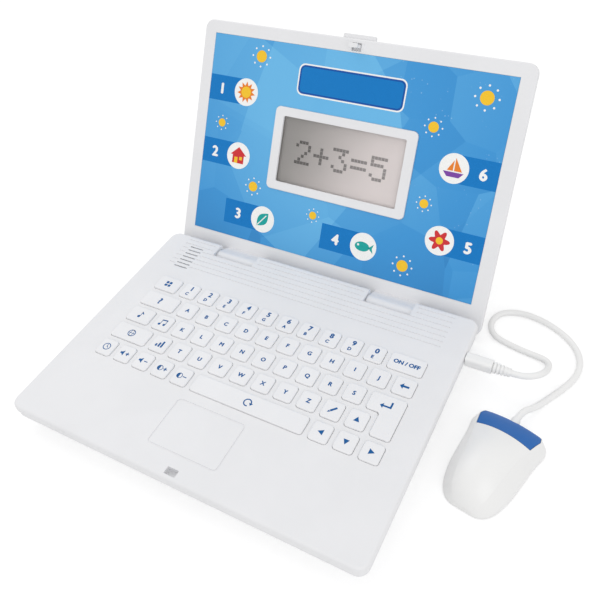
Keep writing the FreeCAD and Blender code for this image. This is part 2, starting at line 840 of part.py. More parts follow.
def build_deck(windows, posts, joint):
    """Make the upper base shell: deck, rim, hinge wells, bosses and every opening in it."""
    outer = rounded("deck_outer", box("deck_block", ("base_width", "base_depth", "deck_rim"),
                    ("0 - half_width", "0 - back_edge", "parting")), upright="base_corner", top="deck_edge")
    hollow = rounded("deck_hollow", box("deck_hollow_block",
                     ("base_width - 2 * wall", "base_depth - 2 * wall", "deck_rim - wall"),
                     ("wall - half_width", "wall - back_edge", "parting")), upright="cavity_corner")
    wells, well_cutters = hinge_wells()
    ring, slots = speaker_grille()
    pocket, pocket_room = catch_pocket()
    added = [cut("deck_shell", outer, [hollow]), ring, pocket] + wells + joint["high"]
    opened = joint["high_holes"] + well_cutters + slots + groove_tools() + [pocket_room, touchpad_line()]
    for index, (x, y) in enumerate(posts):
        added.append(rod(f"post_{index}", "post_radius", "deck_under - board_top", (x, y, "board_top")))
        opened.append(rod(f"post_hole_{index}", "small_screw_radius + fit_gap",
                          "small_screw_length - board_thickness + screw_tip", (x, y, "board_top")))
    opened.append(rod("deck_socket_hole", "collar_radius + socket_gap", "wall + rim_step + 2 * cut_over",
                      ("half_width - rim_step - wall - cut_over", "plug_y", "plug_z"), (1, 0, 0)))
    open_deck = cut("deck_open", fuse("deck_with_bosses", added), opened)
    node("base_top", [cut("deck", open_deck, windows)])


def build_tray(joint, door_tools):
    """Make the lower base shell: a rim, walls that draw in to the floor, bosses and the battery box."""
    low_inset = "rim_step + tray_taper"
    outer = loft("tray_outer", [
        outline("tray_floor", low_inset, "base_corner", "foot_height"),
        outline("tray_rim_low", "rim_step", "base_corner", "rim_low"),
        outline("tray_rim_high", "rim_step", "base_corner", "parting")])
    hollow = loft("tray_hollow", [
        outline("tray_floor_in", f"{low_inset} + wall", "cavity_corner", "tray_inside"),
        outline("tray_rim_low_in", "rim_step + wall", "cavity_corner", "rim_low"),
        outline("tray_rim_high_in", "rim_step + wall", "cavity_corner", "parting + cut_over")])
    box_at = ("0", "battery_front + battery_depth / 2")
    box_out = block("battery_box_out",
                    ("battery_length + 2 * battery_wall", "battery_depth + 2 * battery_wall",
                     "battery_roof + battery_wall - tray_inside + tray_base / 2"),
                    (*box_at, "tray_inside - tray_base / 2"))
    box_in = block("battery_box_in",
                   ("battery_length", "battery_depth", "battery_roof - foot_height + cut_over"),
                   (*box_at, "foot_height - cut_over"))
    bosses = [common(f"tray_boss_{i}", boss, outer) for i, boss in enumerate(joint["low"])]
    whole = fuse("tray_with_bosses", [cut("tray_shell", outer, [hollow]), box_out] + bosses)
    opened = joint["low_holes"] + door_tools + [box_in]
    notch_front = "well_front - wall - notch_gap"
    notch_low = "well_low - wall - notch_gap"
    for side, sign in (("left", "0 - "), ("right", "")):
        opened.append(block(f"tray_notch_{side}",
                            ("well_outside + 2 * notch_gap", f"back_edge + cut_over - ({notch_front})",
                             f"parting + cut_over - ({notch_low})"),
                            (f"{sign}hinge_x", f"(back_edge + cut_over + {notch_front}) / 2", notch_low)))
    opened.append(rod("tray_socket_hole", "collar_radius + socket_gap", "wall + rim_step + 2 * cut_over",
                      ("half_width - rim_step - wall - cut_over", "plug_y", "plug_z"), (1, 0, 0)))
    node("base_bottom", [cut("tray", whole, opened)])
    return outer


def door_shapes():
    """Make the battery door's form, a plate with a tongue round it, and the cutters of its opening."""
    length = "battery_length - 2 * door_lap"
    depth = "battery_front + battery_depth - door_lap + back_edge"
    front = "0 - back_edge"
    tongue_low = "foot_height + (tray_base - tongue_thickness) / 2"
    plate = box("door_block", (f"{length} - 2 * door_gap", f"{depth} - door_gap", "tray_base"),
                (f"door_gap - ({length}) / 2", front, "foot_height"))
    tongue = box("door_tongue", (f"{length} + 2 * tongue_width - 2 * door_gap", f"{depth} - door_gap",
                 "tongue_thickness"), (f"door_gap - tongue_width - ({length}) / 2", front, tongue_low))
    opening = box("door_opening", (length, depth, "tray_base + 2 * cut_over"),
                  (f"0 - ({length}) / 2", front, "foot_height - cut_over"))
    slot = box("door_slot", (f"{length} + 2 * tongue_width", depth, "tongue_thickness + 2 * tongue_play"),
               (f"0 - tongue_width - ({length}) / 2", front, f"{tongue_low} - tongue_play"))
    return fuse("door_form", [plate, tongue]), [opening, slot]


def build_batteries(door_form, tray_outer):
    """Make the sliding battery door, the cells and their contacts."""
    grips = [block(f"door_grip_{i}", ("grip_length", "grip_width", "grip_depth + cut_over"),
                   ("0", f"battery_front + battery_depth - grip_setback - {i} * grip_pitch",
                    "foot_height - cut_over"))
             for i in range(int(number("grip_count")))]
    node("battery_door", [cut("door", common("door_trimmed", door_form, tray_outer), grips)])
    cells, contacts = [], []
    start = "0 - (cell_length + cell_nub_height) / 2"
    pitch = "(2 * cell_radius + cell_gap)"
    for index in range(int(number("cell_count"))):
        y = f"battery_front + cell_gap + cell_radius + {index} * {pitch}"
        z = "cell_low + cell_radius"
        can = rod(f"cell_{index}", "cell_radius", "cell_length", (start, y, z), (1, 0, 0))
        nub = rod(f"cell_nub_{index}", "cell_nub_radius", "cell_nub_height",
                  (f"{start} + cell_length", y, z), (1, 0, 0))
        cells.append(fuse(f"cell_whole_{index}", [can, nub]))
        for side, x in (("minus", "0 - battery_length / 2"),
                        ("plus", "battery_length / 2 - contact_thickness")):
            plate = box(f"contact_{side}_{index}", ("contact_thickness", "contact_width", "contact_width"),
                        (x, f"{y} - contact_width / 2", f"{z} - contact_width / 2"))
            reach = "contact_room - contact_thickness"
            bump_x = f"{x} + contact_thickness" if side == "minus" else f"{x} - ({reach})"
            bump = rod(f"contact_bump_{side}_{index}", "cell_nub_radius", reach, (bump_x, y, z), (1, 0, 0))
            contacts.append(fuse(f"contact_{side}_{index}_whole", [plate, bump]))
    node("batteries", cells)
    node("battery_contacts", contacts)


def build_speaker():
    """Make the speaker: a rim, a basket and a magnet, with a dished cone."""
    at = ("speaker_x", "speaker_y")
    low = "deck_under - speaker_depth"
    rim = rod("speaker_edge", "speaker_radius", "speaker_rim", (*at, "deck_under - speaker_rim"))
    basket = cone("speaker_basket", "magnet_radius", "basket_radius",
                  "speaker_depth - magnet_height - speaker_rim", (*at, f"{low} + magnet_height"))
    magnet = rod("speaker_magnet", "magnet_radius", "magnet_height", (*at, low))
    dish = cone("speaker_dish", "cone_inner_radius", "cone_outer_radius", "cone_depth",
                (*at, "deck_under - cone_depth"))
    node("speaker", [cut("speaker_whole", fuse("speaker_body", [rim, basket, magnet]), [dish])])


def build_socket():
    """Make the mouse socket: a housing inside the right wall and a collar through it."""
    wall_inside = "half_width - rim_step - wall"
    housing = box("socket_housing", ("socket_depth", "socket_width",
                  "deck_under - socket_gap - plug_z + socket_drop"),
                  (f"{wall_inside} - socket_gap - socket_depth", "plug_y - socket_width / 2",
                   "plug_z - socket_drop"))
    collar = rod("socket_collar", "collar_radius", "wall + rim_step + cut_over - socket_gap",
                 (f"{wall_inside} - cut_over", "plug_y", "plug_z"), (1, 0, 0))
    bore = rod("socket_bore", "plug_pin_radius + pin_clearance", "plug_pin_length + 2 * cut_over",
               ("plug_start - plug_pin_length - cut_over", "plug_y", "plug_z"), (1, 0, 0))
    node("mouse_socket", [cut("socket", fuse("socket_form", [housing, collar]), [bore])])


def build_base_fittings(joint):
    """Make the feet, hinge pins and case screws."""
    feet = []
    for index, (x_sign, y_sign) in enumerate(((-1, -1), (1, -1), (1, 1), (-1, 1))):
        x = f"{x_sign} * (half_width - foot_inset)"
        y = f"{y_sign} * (back_edge - foot_inset)"
        foot = rod(f"foot_{index}", "foot_radius", "foot_height", (x, y, "0"))
        feet.append(rounded(f"foot_round_{index}", foot, bottom="foot_edge"))
    node("rubber_feet", feet)
    pins = [rod(f"pin_{i}", "pin_radius", "well_outside",
                (f"{sign} * hinge_x - well_outside / 2", "hinge_y", "hinge_z"), (1, 0, 0))
            for i, sign in enumerate((-1, 1))]
    node("hinge_pins", pins)
    node("case_screws", joint["screws"])


def knuckle(side, sign):
    """Make one of the lid's hinge knuckles, in the lid's frame: a barrel on an arm."""
    low = f"{sign} * hinge_x - knuckle_width / 2"
    barrel = rod(f"barrel_{side}", "knuckle_radius", "knuckle_width", (low, "0", "0"), (1, 0, 0))
    arm = box(f"arm_{side}", ("knuckle_width", "arm_low + knuckle_radius", "arm_sunk - lid_face"),
              (low, "0 - arm_low", "lid_face - arm_sunk"))
    return [barrel, arm]


def build_lid():
    """Make the lid's two shells with the hinge knuckles, in the lid's frame."""
    middle = "(lid_reach - lid_tail) / 2"
    inside = ("lid_width - 2 * wall", "lid_length - 2 * wall")
    rear_depth = "lid_thickness - lid_front_depth"
    spots = [(f"{sign} * (lid_width / 2 - lid_boss_inset)", y) for sign in (-1, 1)
             for y in ("lid_boss_inset - lid_tail", "lid_reach - lid_boss_inset")]
    joint = screw_joint("lid_screw", spots, "lid_rear", "lid_seam", "bezel_back + lid_boss_sunk",
                        "lid_face - thread_end")
    bezel = rounded("bezel_outer", block("bezel_block", ("lid_width", "lid_length", "lid_front_depth"),
                    ("0", middle, "lid_seam")), upright="lid_corner", top="lid_edge")
    room = rounded("bezel_hollow", block("bezel_hollow_block", (*inside, "lid_front_depth - bezel_wall"),
                   ("0", middle, "lid_seam")), upright="lid_inner_corner")
    recess = block("panel_room", ("panel_width + 2 * panel_gap", "panel_height + 2 * panel_gap",
                   "panel_recess + cut_over"), ("0", "panel_middle", "recess_face"))
    hole = block("display_hole", ("view_width + 2 * window_lap + 2 * window_gap",
                 "view_height + 2 * window_lap + 2 * window_gap", "bezel_wall + 2 * cut_over"),
                 ("screen_shift", "screen_middle", "bezel_back - cut_over"))
    hook_room = box("hook_room", ("hook_width + 2 * hook_play",
                    "hook_depth + barb_depth + latch_travel + 2 * hook_play", "bezel_wall + 2 * cut_over"),
                    ("latch_shift - hook_width / 2 - hook_play",
                     "hook_low - latch_travel - hook_play", "bezel_back - cut_over"))
    tab_room = block("tab_room", ("tab_width + 2 * latch_gap", "wall + 2 * cut_over",
                     "tab_thickness + 2 * latch_gap"),
                     ("latch_shift", "lid_reach - wall / 2", "latch_low - latch_gap"))
    bores = [rod(f"bore_{i}", "pin_radius + pin_clearance", "knuckle_width + 2 * cut_over",
                 (f"{sign} * hinge_x - knuckle_width / 2 - cut_over", "0", "0"), (1, 0, 0))
             for i, sign in enumerate((-1, 1))]
    front = fuse("bezel_with_knuckles", [cut("bezel_shell", bezel, [room])] + joint["high"]
                 + knuckle("left", -1) + knuckle("right", 1))
    lid_node("lid_front", [cut("lid_front_open", front, joint["high_holes"] + bores
                           + [recess, hole, hook_room, tab_room])])
    rear = rounded("rear_outer", block("rear_block", ("lid_width", "lid_length", rear_depth),
                   ("0", middle, "lid_rear")), upright="lid_corner", bottom="lid_round")
    rear_room = rounded("rear_hollow", block("rear_hollow_block",
                        (*inside, f"{rear_depth} - wall + cut_over"),
                        ("0", middle, "lid_rear + wall")), upright="lid_inner_corner")
    bosses = [common(f"rear_boss_{i}", boss, rear) for i, boss in enumerate(joint["low"])]
    rear_whole = fuse("rear_with_bosses", [cut("rear_shell", rear, [rear_room])] + bosses)
    lid_node("lid_back", [cut("lid_back_open", rear_whole, joint["low_holes"] + [tab_room])])
    lid_node("lid_screws", joint["screws"])


def build_display():
    """Make the printed panel, the screen's frame, window, glass and board, in the lid's frame."""
    at = ("screen_shift", "screen_middle")
    sheet = block("panel_sheet", ("panel_width", "panel_height", "panel_thickness"),
                  ("0", "panel_middle", "recess_face + fit_gap"))
    gap = rounded("panel_gap_round", block("panel_gap_block", ("frame_width + 2 * panel_gap",
                  "frame_height + 2 * panel_gap", "panel_thickness + 2 * cut_over"),
                  (*at, "recess_face - cut_over")), upright="frame_corner")
    lid_node("picture_panel", [cut("panel", sheet, [gap])])
    rim = rounded("frame_round", block("frame_block", ("frame_width", "frame_height",
                  "panel_recess + frame_proud"), (*at, "recess_face")),
                  upright="frame_corner", top="frame_edge")
    view = rounded("view_round", block("view_block", ("view_width", "view_height",
                   "panel_recess + frame_proud + 2 * cut_over"), (*at, "recess_face - cut_over")),
                   upright="view_corner")
    lid_node("screen_frame", [cut("frame", rim, [view])])
    layers = (
        ("screen_window", "window_lap", "window_thickness", "recess_face - window_thickness - seat_gap"),
        ("display_glass", "glass_lap", "glass_thickness", "bezel_back - glass_thickness - seat_gap"),
        ("display_board", "(glass_lap + display_board_lap)", "display_board_thickness",
         "bezel_back - glass_thickness - display_board_thickness - 2 * seat_gap"),
    )
    for label, lap, thickness, low in layers:
        layer = block(label + "_sheet", (f"view_width + 2 * {lap}", f"view_height + 2 * {lap}", thickness),
                      (*at, low))
        lid_node(label, [layer])


def build_latch():
    """Make the sprung latch: a tab through the lid's top edge and a hook through its face."""
    tab = rounded("tab_round", block("tab", ("tab_width", "tab_reach + tab_sunk", "tab_thickness"),
                  ("latch_shift", "lid_reach + (tab_reach - tab_sunk) / 2", "latch_low")),
                  upright="lid_edge")
    plate = box("latch_plate", ("latch_plate_width", "hook_setback", "tab_thickness"),
                ("latch_shift - latch_plate_width / 2", "hook_low - latch_plate_lap", "latch_low"))
    hook_left = "latch_shift - hook_width / 2"
    hook = box("hook", ("hook_width", "hook_depth", "hook_tip - latch_low"),
               (hook_left, "hook_low", "latch_low"))
    barb = box("barb", ("hook_width", "hook_depth + barb_depth", "barb_height"),
               (hook_left, "hook_low", "hook_tip - barb_height"))
    lid_node("latch", [fuse("latch_form", [tab, plate, hook, barb])])


def build_plug():
    """Make the plug: its moulded body with a ribbed relief, and its pin."""
    body = rounded("plug_round", block("plug_block", ("plug_width", "plug_height", "plug_body"),
                   ("0", "0", "0")), upright="plug_corner", bottom="plug_edge")
    core = rod("relief_core_rod", "relief_core", "rib_count * rib_pitch", ("0", "0", "plug_body"))
    ribs = [rod(f"rib_{i}", f"rib_radius - {i} * rib_taper", "rib_width",
                ("0", "0", f"plug_body + {i + 1} * rib_pitch - rib_width"))
            for i in range(int(number("rib_count")))]
    moulding = node("mouse_plug", [fuse("plug_form", [body, core] + ribs)])
    moulding.Placement.Rotation = FreeCAD.Rotation(FreeCAD.Vector(0, 0, 1), FreeCAD.Vector(1, 0, 0))
    place(moulding, ("plug_start", "plug_y", "plug_z"))
    node("plug_pin", [rod("pin_rod", "plug_pin_radius", "plug_pin_length",
                          ("plug_start - plug_pin_length", "plug_y", "plug_z"), (1, 0, 0))])


def cord_path(points):
    """Join a route's straight runs by tangent arcs, and print the arcs' radii.

    Each arc's radius is 0.45 of the shorter run beside it, over the tangent of half its turn.
    """
    edges, radii = [], []
    start = points[0]
    for before, corner, after in zip(points, points[1:], points[2:]):
        arrive, leave = corner - before, after - corner
        turn = arrive.getAngle(leave)
        setback = 0.45 * min(arrive.Length, leave.Length)
        radii.append(setback / math.tan(turn / 2))
        arrive.normalize()
        leave.normalize()
        first, last = corner - arrive * setback, corner + leave * setback
        bisector = leave - arrive
        bisector.normalize()
        reach = radii[-1] / math.cos(turn / 2) - radii[-1]
        edges.append(Part.LineSegment(start, first).toShape())
        edges.append(Part.Arc(first, corner + bisector * reach, last).toShape())
        start = last
    edges.append(Part.LineSegment(start, points[-1]).toShape())
    print("cord radii", [round(radius, 1) for radius in radii], "least", round(min(radii), 2))
    return Part.Wire(edges)


def build_cord():
    """Make the cord as a tube along its route, from the plug's relief to the mouse's."""
    turn = math.radians(number("mouse_heading"))
    ahead = FreeCAD.Vector(math.sin(turn), math.cos(turn), 0)
    mouse = FreeCAD.Vector(number("mouse_x"), number("mouse_y"), number("mouse_relief_height"))
    first = FreeCAD.Vector(number("relief_end"), number("plug_y"), number("plug_z"))
    last = mouse + ahead * number("relief_tip")
    leaving = first + FreeCAD.Vector(number("plug_lead"), 0, 0)
    arriving = last + ahead * number("mouse_lead")
    corner = FreeCAD.Vector(number("half_width"), number("back_edge"), 0)
    route = [corner + FreeCAD.Vector(*point) for point in CORD_ROUTE]
    path = cord_path([first, leaving] + route + [arriving, last])
    radius = number("cord_radius")
    ring = Part.Wire(Part.Circle(first, FreeCAD.Vector(1, 0, 0), radius).toShape())
    runs = Part.BRepOffsetAPI.MakePipeShell(path)
    runs.add(ring)
    runs.build()
    runs.makeSolid()
    tube = runs.shape()
    section = math.pi * radius**2
    print("cord length", round(path.Length, 1), "volume over section times length",
          round(tube.Volume / (section * path.Length), 4))
    node("mouse_cord", [solid("cord_tube", tube)])


def mouse_form(inset, low):
    """Loft the mouse's outside, drawn in by an inset, through its sections.

    A section has a flat foot, short upright skirts, straight flanks up to the shoulders and one arc
    over the top between them.
    """
    half_length = number("mouse_length") / 2 - inset
    half_width = number("mouse_width") / 2
    height = number("mouse_height")
    wires = []
    for along, wide, high, spread in MOUSE_SECTIONS:
        y = along * half_length
        side = wide * half_width - inset
        shoulder = spread * wide * half_width - inset
        shoulder_height = SHOULDER_HEIGHT * high * height - inset
        skirt = low + SKIRT_HEIGHT * (shoulder_height - low)
        right = ((side, low), (side, skirt), (shoulder, shoulder_height))
        rise = [FreeCAD.Vector(x, y, z) for x, z in right]
        fall = [FreeCAD.Vector(-x, y, z) for x, z in reversed(right)]
        crown = Part.Arc(rise[-1], FreeCAD.Vector(0, y, high * height - inset), fall[0])
        corners = fall + rise
        edges = [Part.LineSegment(a, b).toShape() for a, b in zip(corners, corners[1:])]
        wires.append(Part.Wire(edges + [crown.toShape()]))
    return Part.makeLoft(wires, True, False)


def button_block(grow, low):
    """Make an upright block over the button, grown all round, from a height up.

    Its sides follow the mouse's shoulders, a little inside them, and it passes the nose.
    """
    half_length = number("mouse_length") / 2
    margin = number("button_margin") - grow
    back = number("button_edge") - grow
    stations = [(along * half_length, spread * wide * number("mouse_width") / 2 - margin)
                for along, wide, _, spread in MOUSE_SECTIONS]
    ahead = [station for station in stations if station[0] > back]
    behind = stations[-len(ahead) - 1]
    share = (back - behind[0]) / (ahead[0][0] - behind[0])
    first = (back, behind[1] + share * (ahead[0][1] - behind[1]))
    last = (half_length + number("cut_over"), ahead[-1][1])
    right = [FreeCAD.Vector(x, y, low) for y, x in [first] + ahead + [last]]
    left = [FreeCAD.Vector(-corner.x, corner.y, low) for corner in reversed(right)]
    face = Part.Face(Part.makePolygon(right + left + right[:1]))
    return face.extrude(FreeCAD.Vector(0, 0, number("mouse_height")))


def build_mouse_case():
    """Make the mouse's base, top and button, with the post for its screw and the cord's relief."""
    floor = number("mouse_pad_height")
    outer = solid("mouse_outer", mouse_form(0.0, floor))
    inner = solid("mouse_inner", mouse_form(number("mouse_wall"), number("mouse_floor")))
    shell = cut("mouse_shell", outer, [inner])
    around = ("2 * mouse_width", "2 * mouse_length")
    lower = block("mouse_lower", (*around, "mouse_seam + cut_over"), ("0", "0", "0 - cut_over"))
    upper = block("mouse_upper", (*around, "mouse_height"), ("0", "0", "mouse_seam"))
    relief_at, ahead = ("0", "relief_start", "mouse_relief_height"), (0, 1, 0)
    room_length = "mouse_relief_length + cut_over"
    relief_room = rod("mouse_relief_room", "mouse_relief_radius + fit_gap", room_length, relief_at, ahead)
    click_room = rod("click_room", "mouse_relief_radius + click_travel + click_gap",
                     f"{room_length} + click_gap", ("0", "relief_start - click_gap", "mouse_relief_height"),
                     ahead)
    lens_hole = block("lens_hole", ("lens_size + 2 * lens_gap", "lens_size + 2 * lens_gap",
                      "mouse_floor + cut_over"), ("0", "sensor_ahead", "0 - cut_over / 2"))
    screw_at = ("0", "mouse_screw_y")
    post = rod("mouse_post", "post_radius", "mouse_seam - mouse_pad_height", (*screw_at, "mouse_pad_height"))
    way = rod("mouse_screw_way", "small_screw_radius + screw_clearance", "mouse_seam + cut_over",
              (*screw_at, "0"))
    sink = rod("mouse_screw_sink", "small_head_radius + screw_clearance", "mouse_screw_seat",
               (*screw_at, "0"))
    base = fuse("mouse_base_post", [common("mouse_base_shell", shell, lower), post])
    mouse_node("mouse_base", [cut("mouse_base_open", base, [relief_room, lens_hole, way, sink])])
    stud = common("mouse_stud", rod("mouse_stud_rod", "post_radius", "mouse_height",
                  (*screw_at, "mouse_seam")), outer)
    thread = rod("mouse_thread_hole", "small_screw_radius + fit_gap", "mouse_thread + screw_tip + cut_over",
                 (*screw_at, "mouse_seam - cut_over"))
    button_room = solid("button_room", button_block(number("click_gap"),
                        number("mouse_seam") - number("cut_over")))
    top = fuse("mouse_top_stud", [common("mouse_top_shell", shell, upper), stud])
    mouse_node("mouse_top", [cut("mouse_top_open", top, [thread, button_room])])
    button_low = number("mouse_seam") + number("click_travel") + number("click_gap")
    button = common("mouse_button_shell", shell, solid("button_space", button_block(0.0, button_low)))
    mouse_node("mouse_button", [cut("mouse_button_open", button, [click_room])])
    mouse_node("mouse_relief", [cone("mouse_relief_cone", "mouse_relief_radius", "mouse_relief_tip",
                                     "mouse_relief_length", relief_at, ahead)])


def build_mouse_inside():
    """Make the mouse's board with its sensor, the lens, the pads and the screw."""
    board_low = "mouse_floor + mouse_board_rise"
    plate = block("mouse_plate", ("mouse_board_width", "mouse_board_length", "mouse_board_thickness"),
                  ("0", "sensor_ahead", board_low))
    clear = rod("mouse_plate_hole", "post_radius + mouse_post_gap", "mouse_height",
                ("0", "mouse_screw_y", "0"))
    sensor = block("mouse_sensor", ("sensor_width", "sensor_length", "sensor_height"),
                   ("0", "sensor_ahead", f"{board_low} - sensor_height"))
    open_plate = cut("mouse_plate_open", plate, [clear])
    mouse_node("mouse_board", [fuse("mouse_board_form", [open_plate, sensor])])
    mouse_node("mouse_lens", [block("lens", ("lens_size", "lens_size", "lens_height"),
                                    ("0", "sensor_ahead", "mouse_pad_height + lens_rise"))])
    pads = []
    for y, spread in (("mouse_pad_front", "mouse_pad_front_spread"),
                      ("0 - mouse_pad_rear", "mouse_pad_rear_spread")):
        for sign in (-1, 1):
            pads.append(rod(f"mouse_pad_{len(pads)}", "mouse_pad_radius", "mouse_pad_height",
                            (f"{sign} * {spread}", y, "0")))
    mouse_node("mouse_pads", pads)
    head = rod("mouse_screw_head", "small_head_radius", "small_head_height",
               ("0", "mouse_screw_y", "mouse_screw_low"))
    shank = rod("mouse_screw_shank", "small_screw_radius", "mouse_seam + mouse_thread - mouse_screw_seat",
                ("0", "mouse_screw_y", "mouse_screw_seat"))
    mouse_node("mouse_screw", [fuse("mouse_screw_form", [head, shank])])


def check_pieces():
    """Stop unless every object is sound and every node holds as many solids as it lists."""
    doc.recompute()
    faults = [item.Name for item in doc.Objects if "Invalid" in item.State or "Error" in item.State]
    for item, count in nodes:
        shape = item.Shape
        if shape.isNull() or not shape.isValid() or len(shape.Solids) != count:
            faults.append(f"{item.Label}: {len(shape.Solids)} solids for {count}")
    if faults:
        raise RuntimeError("unsound: " + ", ".join(faults))


def write_pieces():
    """Write one file for each node."""
    os.makedirs("parts", exist_ok=True)
    for item, _ in nodes:
        item.Shape.exportStep(f"parts/{item.Label}.step")
    print(len(nodes), "nodes")


def main():
    """Build the laptop and its mouse, check them and write them."""
    fill_sheets()
    case_spots = [(f"{sx} * (half_width - boss_inset)", f"{sy} * (back_edge - boss_inset)")
                  for sx in (-1, 1) for sy in (-1, 1)]
    case_joint = screw_joint("case_screw", case_spots, "foot_height", "boss_meet", "deck_under",
                             "deck_under - thread_end")
    posts = [(x, f"board_front + {row} * row_pitch - row_gap / 2") for row in (1, 4)
             for x in ("keyboard_left - post_offset", "keyboard_left + keyboard_width + post_offset")]
    windows = build_keys()
    build_board(posts)
    build_deck(windows, posts, case_joint)
    door_form, door_tools = door_shapes()
    tray_outer = build_tray(case_joint, door_tools)
    build_batteries(door_form, tray_outer)
    build_speaker()
    build_socket()
    build_base_fittings(case_joint)
    build_lid()
    build_display()
    build_latch()
    build_plug()
    build_cord()
    build_mouse_case()
    build_mouse_inside()
    check_pieces()
    write_pieces()


main()
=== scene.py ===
"""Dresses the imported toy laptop: a finish on every piece, printed keys and panel, cord and stage.

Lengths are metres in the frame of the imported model: the origin lies on the table under the middle of
the base, +X is the user's right and +Y is the back, where the lid is hinged.
"""
from __future__ import annotations

import json
import logging
import math
from dataclasses import dataclass, field
from enum import Enum
from typing import NamedTuple, Sequence

import bpy
import numpy as np
from mathutils import Matrix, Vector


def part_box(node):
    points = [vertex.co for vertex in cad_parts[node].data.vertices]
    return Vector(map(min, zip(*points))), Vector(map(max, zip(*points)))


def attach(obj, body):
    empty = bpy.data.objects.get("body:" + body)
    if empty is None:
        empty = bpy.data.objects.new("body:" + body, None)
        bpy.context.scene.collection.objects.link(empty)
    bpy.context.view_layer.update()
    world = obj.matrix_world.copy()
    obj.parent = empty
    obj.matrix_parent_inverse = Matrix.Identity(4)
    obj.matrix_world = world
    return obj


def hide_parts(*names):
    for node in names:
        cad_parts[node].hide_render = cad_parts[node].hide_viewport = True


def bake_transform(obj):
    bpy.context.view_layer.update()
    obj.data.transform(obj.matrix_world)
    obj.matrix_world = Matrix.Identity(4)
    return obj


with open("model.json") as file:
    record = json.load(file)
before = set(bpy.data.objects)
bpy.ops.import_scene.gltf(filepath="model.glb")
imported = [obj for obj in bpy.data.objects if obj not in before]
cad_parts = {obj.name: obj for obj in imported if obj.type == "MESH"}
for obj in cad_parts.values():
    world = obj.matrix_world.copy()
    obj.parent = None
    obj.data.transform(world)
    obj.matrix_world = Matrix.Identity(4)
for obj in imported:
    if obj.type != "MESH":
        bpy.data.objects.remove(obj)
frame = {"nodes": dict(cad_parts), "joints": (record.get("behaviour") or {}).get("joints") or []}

LOG = logging.getLogger("toy_laptop")
MM = 0.001
ARC_POINTS = 36
CORNER_POINTS = 8
NOISE_MEAN = 0.5
Colour = tuple[float, float, float]
Point = tuple[float, float, float]
Outlines = list[np.ndarray]


class Field:
    """A value, vector or colour in a material's nodes, whose arithmetic adds Math nodes."""

    def __init__(self, paint: Paint, socket: bpy.types.NodeSocket | None) -> None:
        """Wrap a socket of a paint's nodes."""
        self.paint = paint
        self.socket = socket

    def math(self, operation: str, *others: Value) -> Field:
        """Add a Math node whose first input is this value.

        Args:
            operation: the Math node's operation.
            others: its other inputs, in order.

        Returns:
            The node's result.
        """
        inputs = dict(enumerate((self, *others)))
        return self.paint.node("ShaderNodeMath", {"operation": operation}, inputs)

    def __add__(self, other: Value) -> Field:
        """Add."""
        return self.math("ADD", other)

    __radd__ = __add__

    def __mul__(self, other: Value) -> Field:
        """Multiply."""
        return self.math("MULTIPLY", other)

    __rmul__ = __mul__

    def __sub__(self, other: Value) -> Field:
        """Subtract."""
        return self.math("SUBTRACT", other)

    def __rsub__(self, other: Value) -> Field:
        """Subtract this from a number."""
        return (self * -1.0).math("ADD", other)

    def __truediv__(self, other: Value) -> Field:
        """Divide."""
        return self.math("DIVIDE", other)

    def __rtruediv__(self, other: Value) -> Field:
        """Divide a number by this."""
        return self.math("POWER", -1.0) * other

    def step(self, low: float, high: float) -> Field:
        """Rise smoothly from 0 to 1.

        Args:
            low: where it is still 0.
            high: where it is 1.

        Returns:
            A value from 0 to 1.
        """
        settings = {"interpolation_type": "SMOOTHSTEP"}
        inputs = {"Value": self, "From Min": low, "From Max": high}
        return self.paint.node("ShaderNodeMapRange", settings, inputs)

    def centred(self) -> Field:
        """Move noise, which runs from 0 to 1, to lie about zero."""
        return self - NOISE_MEAN


Value = Field | float


